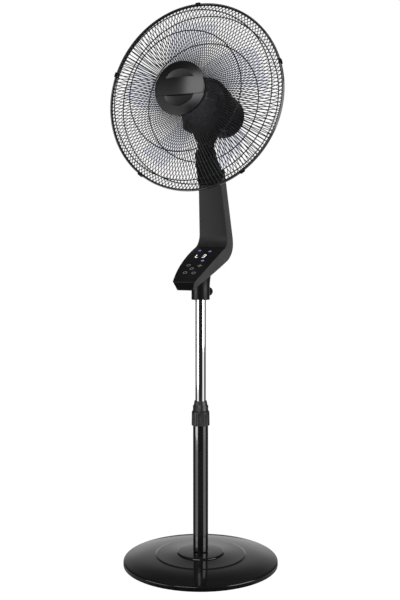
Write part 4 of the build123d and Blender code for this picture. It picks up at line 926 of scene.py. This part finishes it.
def makeWires(name, node, cage):
    size = guards
    hoopAt = (rimR - size["hoopIn"], cage["hoop"])
    route = [*cage["bends"], *((rimR - way, place) for way, place in cage["outer"]), hoopAt]
    clearSelection()
    bpy.ops.curve.primitive_nurbs_path_add()
    path = bpy.context.object
    curve = path.data
    curve.splines.clear()
    spline = curve.splines.new("NURBS")
    spline.points.add(len(route) - 1)
    for point, (radius, place) in zip(spline.points, route):
        point.co = (radius * mm, 0, place * mm, 1)
    spline.order_u = 3
    spline.use_endpoint_u = True
    spline.resolution_u = size["curveSteps"]
    curve.bevel_depth = size["wireR"] * mm
    curve.bevel_resolution = 1
    curve.use_fill_caps = True
    pickOnly(path)
    bpy.ops.object.convert(target="MESH")
    wires = bpy.context.object
    tidyMesh(wires)
    spinCopies(wires, size["wires"])
    finishWires([wires, roundWireRing("hoop", *hoopAt, size["hoopR"])], name, node)


def makeRings(name, node, cage, inwards):
    # rings on the inner side of the wires
    size = guards
    drop = inwards * (size["wireR"] + size["ringR"])
    finishWires([roundWireRing("ring", r, z + drop, size["ringR"]) for r, z in cage["rings"]], name, node)


def finishWires(pieces, name, node):
    group = joinPieces(pieces, name)
    settle(group, headFrame)
    dress(group, "wireEnamel", "head", "wire_black", node, smooth=60)


def makePlate(radius, bore, back, thick, fillet, turns):
    face = back + thick
    outline = roundCorners([(bore, back), (radius, back), (radius, face), (bore, face)], (fillet, fillet), 3)
    plate = lathe("rearGuardPlate", outline, turns)
    settle(plate, headFrame)
    dress(plate, "wireEnamel", "head", "wire_black", "rear_guard_plate")


def makeRim(inner, lip, lipT, groove, grooveHalf, inwards, turns, fillets):
    edge = inner - lip
    outline = roundCorners(
        [(edge, rimBack), (rimR, rimBack), (rimR, rimMiddle - grooveHalf), (rimR - groove, rimMiddle),
         (rimR, rimMiddle + grooveHalf), (rimR, rimFront), (edge, rimFront), (edge, rimFront - lipT),
         (inner, rimFront - lipT), (inner, rimBack + lipT), (edge, rimBack + lipT)], fillets, steps=4)
    rim = lathe("guardRim", outline, turns)
    settle(rim, headFrame)
    dress(rim, "rimGloss", "head", "rim_gloss", "guard_rim", smooth=40)
    # painted light: the rim's faces that look inwards get the lighter grey
    inward = inwards * inner * mm
    paintShadeAndLight(rim, "rimInnerLitGrey", lambda face: face.normal.dot(face.center - fanCentre) < inward)


def makeClips(count, angle, width, thick, out, inwards, soft, deep, loose):
    block = addMesh("cube", "guardClips", size=1)
    for vertex in block.data.vertices:
        x, y, z = vertex.co
        vertex.co = Vector((rimR - inwards if x < 0 else rimR + out, width / 2 * (1 if y > 0 else -1),
                            rimMiddle + (rimHalf + thick) * (1 if z > 0 else -1))) * mm
    softenEdges(block, soft, segments=3)
    near, far, low, high = rimR - deep, rimR + loose, rimBack - loose, rimFront + loose
    slot = lathe("clipSlot", [(near, low), (far, low), (far, high), (near, high)], guardRim["turns"])
    boolean(block, slot, "DIFFERENCE")
    spinCopies(block, count)
    settle(block, headFrame @ Matrix.Rotation(radians(angle), 4, "Z"))
    dress(block, "motorBlack", "head", "rim_gloss", "guard_clips")


makeWires("frontGuard", "front_guard", frontCage)
makeWires("rearGuard", "rear_guard", rearCage)
makeRings("frontGuardRings", "front_guard_rings", frontCage, -1)
makeRings("rearGuardRings", "rear_guard_rings", rearCage, 1)
makePlate(**rearPlate)
makeRim(**guardRim)
makeClips(**guardClip)
print("guards made")


# Front cap: a domed disc with a bar left standing between two finger scoops

frontCap = dict(radius=62.0, back=73.8, edge=5.0, dome=7.0, wall=2.6, edgeSoft=0.9, softAngle=22, turns=144,
                rings=24, rimFillets=(0.6, 2.6), scoopDepth=7.0, wallLean=0.3, sideDrop=2.4, ball=(96, 63),
                beyond=1.1, far=3.0, faceFrom=2, innerDrop=1.0,
                # side of the bar, its edge, half width and reach of the scoop
                scoops=((1, 23.0, 54.0, 35.0), (-1, 17.0, 57.0, 41.0)))


def keepBeyond(tool, side, bar, top, lean, far):
    # the part of the tool beyond the bar's leaning wall
    block = addMesh("cube", "block", size=2)
    outwards = Vector((0, side, -lean)).normalized()
    across = Vector((1, 0, 0))
    upwards = outwards.cross(across)
    foot = Vector((0, side * bar, top))
    for vertex in block.data.vertices:
        x, y, z = vertex.co
        vertex.co = (foot + (across * x + outwards * (y + 1) + upwards * z) * far) * mm
    tidyMesh(block)
    boolean(tool, block, "INTERSECT")
    return tool


def makeCap(radius, back, edge, dome, wall, edgeSoft, softAngle, turns, rings, rimFillets, scoopDepth,
            wallLean, sideDrop, ball, beyond, far, faceFrom, innerDrop, scoops):
    edgeTop = back + edge
    top = edgeTop + dome
    sphereR = (radius ** 2 + dome ** 2) / (2 * dome)
    whole = [(r, top - sphereR + sqrt(sphereR ** 2 - r ** 2)) for r in evenly(radius, 0, rings)]
    inner, ceiling = radius - wall, edgeTop - wall
    face = whole[faceFrom:]
    outline = roundCorners([(inner, back), (radius, back), (radius, edgeTop), face[0]], rimFillets)[:-1]
    outline += [Vector(p) for p in (*face, (0, ceiling), (inner, ceiling - innerDrop))]
    cap = lathe("frontCap", outline, turns)
    above, outer = top + dome, radius * beyond
    lowered = [(r, z - sideDrop) for r, z in ((outer, edgeTop), *whole)]
    lowered = [(outer, above), *lowered, (0, above)]
    segments, ringCount = ball
    for side, bar, half, reach in scoops:
        step = lathe("capStep", lowered, turns)
        boolean(cap, keepBeyond(step, side, bar, top, wallLean, far * radius), "DIFFERENCE")
        scoop = addMesh("uv_sphere", "scoop", segments=segments, ring_count=ringCount, radius=1,
                        rotation=(0, 0, pi / segments))
        applyPlace(scoop)
        scoop.scale = (half * mm, reach * mm, scoopDepth * mm)
        scoop.location = (0, side * bar * mm, top * mm)
        applyPlace(scoop)
        boolean(cap, keepBeyond(scoop, side, bar, top, wallLean, far * radius), "DIFFERENCE")
    softenEdges(cap, edgeSoft, segments=3, angle=softAngle)
    settle(cap, headFrame)
    dress(cap, "capSatin", "head", "cap_grey", "front_cap", smooth=30)


makeCap(**frontCap)
print("cap made")


# Small screws that hold the neck's shell from behind

screws = dict(headR=3.4, headTop=1.2, foot=-1.0, recess=0.6, slotR=1.3, fillets=(0.1, 0.2, 0.7, 0.1),
              # places up the rear of the neck as shares, half of their distance, depth in the shell
              turns=24, shares=(0.3, 0.86), aside=17.0, sunk=0.6)


def makeScrews(headR, headTop, foot, recess, slotR, fillets, turns, shares, aside, sunk):
    rearUp = (topRear - rearBend).normalized()
    outwards = Vector((0, rearUp.y, -rearUp.x))
    turn = Vector((0, 0, 1)).rotation_difference(outwards).to_matrix().to_4x4()
    outline = roundCorners([(0, recess), (slotR, recess), (slotR, headTop), (headR, headTop), (headR, foot),
                            (0, foot)], fillets, steps=3)
    for index, share in enumerate(shares):
        spot = rearBend + (topRear - rearBend) * share
        for side, letter in ((-1, "L"), (1, "R")):
            screw = lathe(f"neckScrew{index}{letter}", outline, turns, closed=False)
            place = (Vector((side * aside, *spot)) - outwards * sunk) * mm
            settle(screw, Matrix.Translation(place) @ turn)
            dress(screw, "platedSteel", "pole", "steel")


makeScrews(**screws)
print("screws made")


# What stays as it came: inner pieces with their finish

innerFinish = dict(base_hub="castAlloy", collet="nylonWhite", guide_bush="nylonWhite",
                   display_board="boardGreen", power_board="boardGreen", socket_sleeve="nylonWhite",
                   swing_motor="platedSteel", stator="coreSteel", stator_coils="coilCopper",
                   shaft_bearings="platedSteel", drive_pin="platedSteel", rotor="coreSteel")
for node, finish in innerFinish.items():
    mesh = frame["nodes"][node].data
    mesh.materials.clear()
    mesh.materials.append(finishes[finish])
print("inner pieces finished")


# Camera at the photograph's angle, its lens fitted for a picture of 400 by 600 pixels; the render size is
# not set here

camera = dict(location=(0.8747, -1.9702, 0.7749), azimuth=23.94, down=3.54, lens=54.1, sensor=36,
              shift=-0.001)
cameraData = bpy.data.cameras.new("camera")
cameraData.sensor_fit = "VERTICAL"
cameraData.sensor_height = camera["sensor"]
cameraData.lens = camera["lens"]
cameraData.shift_x = camera["shift"]
cameraObject = bpy.data.objects.new("camera", cameraData)
cameraObject.location = camera["location"]
cameraObject.rotation_euler = (radians(90 - camera["down"]), 0, radians(camera["azimuth"]))
bpy.context.scene.collection.objects.link(cameraObject)
bpy.context.scene.camera = cameraObject


# Floor and light, in metres

studio = dict(
    floor=4.0, floorTone=0.86, glow=0.96, floorGlow=1.05, fill=0.4, aim=1.0,
    # turned from the camera's side, distance, height of the middle, width, height, watts
    softboxes=((-63.5, 2.7, 0.4, 1.7, 0.8, 19), (61.5, 2.7, 1.2, 2.0, 2.0, 52),
               (-24, 2.5, 2.15, 1.6, 1.2, 30)),
    # how bright a reflection finds the studio: by height, then by turn from the camera's side,
    # and the floor by its turn
    byHeight=((0.0, 1.0), (0.225, 1.0), (0.342, 0.57), (0.5, 0.16), (0.62, 0.06)),
    byTurn=((0.0, 0.9), (0.02, 0.7), (0.06, 0.3), (0.12, 0.06), (0.54, 0.05), (0.58, 1.0), (0.865, 1.0),
            (0.89, 0.02)),
    floorTurn=((0.0, 0.15), (0.12, 0.05), (0.54, 0.05), (0.58, 1.0), (0.865, 1.0), (0.89, 0.02)))
cameraSide = Vector((sin(radians(camera["azimuth"])), -cos(radians(camera["azimuth"])), 0))


def turnTone(tree, vector, stops):
    # tone of a direction or a place by its turn about the pole, away from the camera's side
    flat = addVector(tree, "MULTIPLY", vector, (1, 1, 0))
    unit = addVector(tree, "NORMALIZE", flat)
    dot = addVector(tree, "DOT_PRODUCT", unit, cameraSide, output="Value")
    return addRamp(tree, addMath(tree, "MULTIPLY_ADD", dot, 0.5, 0.5), stops)


def addRays(tree):
    # what kind of ray it is, and whether it comes straight from the camera
    rays = addNode(tree, "LightPath", {}).outputs
    return rays, addMath(tree, "MAXIMUM", rays["Is Camera Ray"], rays["Is Transmission Ray"])


def makeFloor():
    floor = addMesh("plane", "floor", size=studio["floor"])
    material, tree = newFinish("floorWhite")[:2]
    material.cycles.emission_sampling = "NONE"
    tree.nodes.clear()
    rays, straight = addRays(tree)
    glossy = rays["Is Glossy Ray"]
    mirrored = addMath(tree, "MULTIPLY", glossy, turnTone(tree, addPlace(tree), studio["floorTurn"]))
    bright = addMath(tree, "MULTIPLY", straight, studio["floorGlow"])
    glow = addNode(tree, "Emission", {"Strength": addMath(tree, "MAXIMUM", bright, mirrored)})
    matt = addNode(tree, "BsdfDiffuse", {"Color": (*[studio["floorTone"]] * 3, 1)})
    seen = addMath(tree, "MULTIPLY", addMath(tree, "MAXIMUM", straight, glossy), studio["glow"])
    mix = addNode(tree, "MixShader", {"Fac": seen, 1: matt.outputs[0], 2: glow.outputs[0]})
    addNode(tree, "OutputMaterial", {"Surface": mix.outputs[0]})
    floor.data.materials.append(material)


def makeLight():
    world = bpy.data.worlds.new("studio")
    bpy.context.scene.world = world
    world.use_nodes = True
    world.cycles.sampling_method = "NONE"
    tree = world.node_tree
    tree.nodes.clear()
    rays, straight = addRays(tree)
    way = addPlace(tree, "Generated")
    rise = addRamp(tree, addNode(tree, "SeparateXYZ", {0: way}).outputs["Z"], studio["byHeight"])
    tone = addMath(tree, "MULTIPLY", rise, turnTone(tree, way, studio["byTurn"]))
    mirrored = addMath(tree, "MULTIPLY", rays["Is Glossy Ray"], tone)
    fill = addMath(tree, "MULTIPLY", rays["Is Diffuse Ray"], studio["fill"])
    lit = addMath(tree, "MAXIMUM", addMath(tree, "MAXIMUM", straight, mirrored), fill)
    back = addNode(tree, "Background", {"Color": (1, 1, 1, 1), "Strength": lit})
    addNode(tree, "OutputWorld", {"Surface": back.outputs[0]})
    for index, (turn, distance, height, wide, tall, watts) in enumerate(studio["softboxes"]):
        data = bpy.data.lights.new(f"softbox{index}", "AREA")
        data.shape = "RECTANGLE"
        data.size, data.size_y, data.energy = wide, tall, watts
        lamp = bpy.data.objects.new(f"softbox{index}", data)
        azimuth = radians(camera["azimuth"] + turn)
        lamp.location = (distance * sin(azimuth), -distance * cos(azimuth), height)
        aim = Vector((0, 0, studio["aim"])) - lamp.location
        lamp.rotation_euler = aim.to_track_quat("-Z", "Y").to_euler()
        bpy.context.scene.collection.objects.link(lamp)


makeFloor()
makeLight()
bpy.context.scene.view_settings.view_transform = "Standard"
print("studio made")
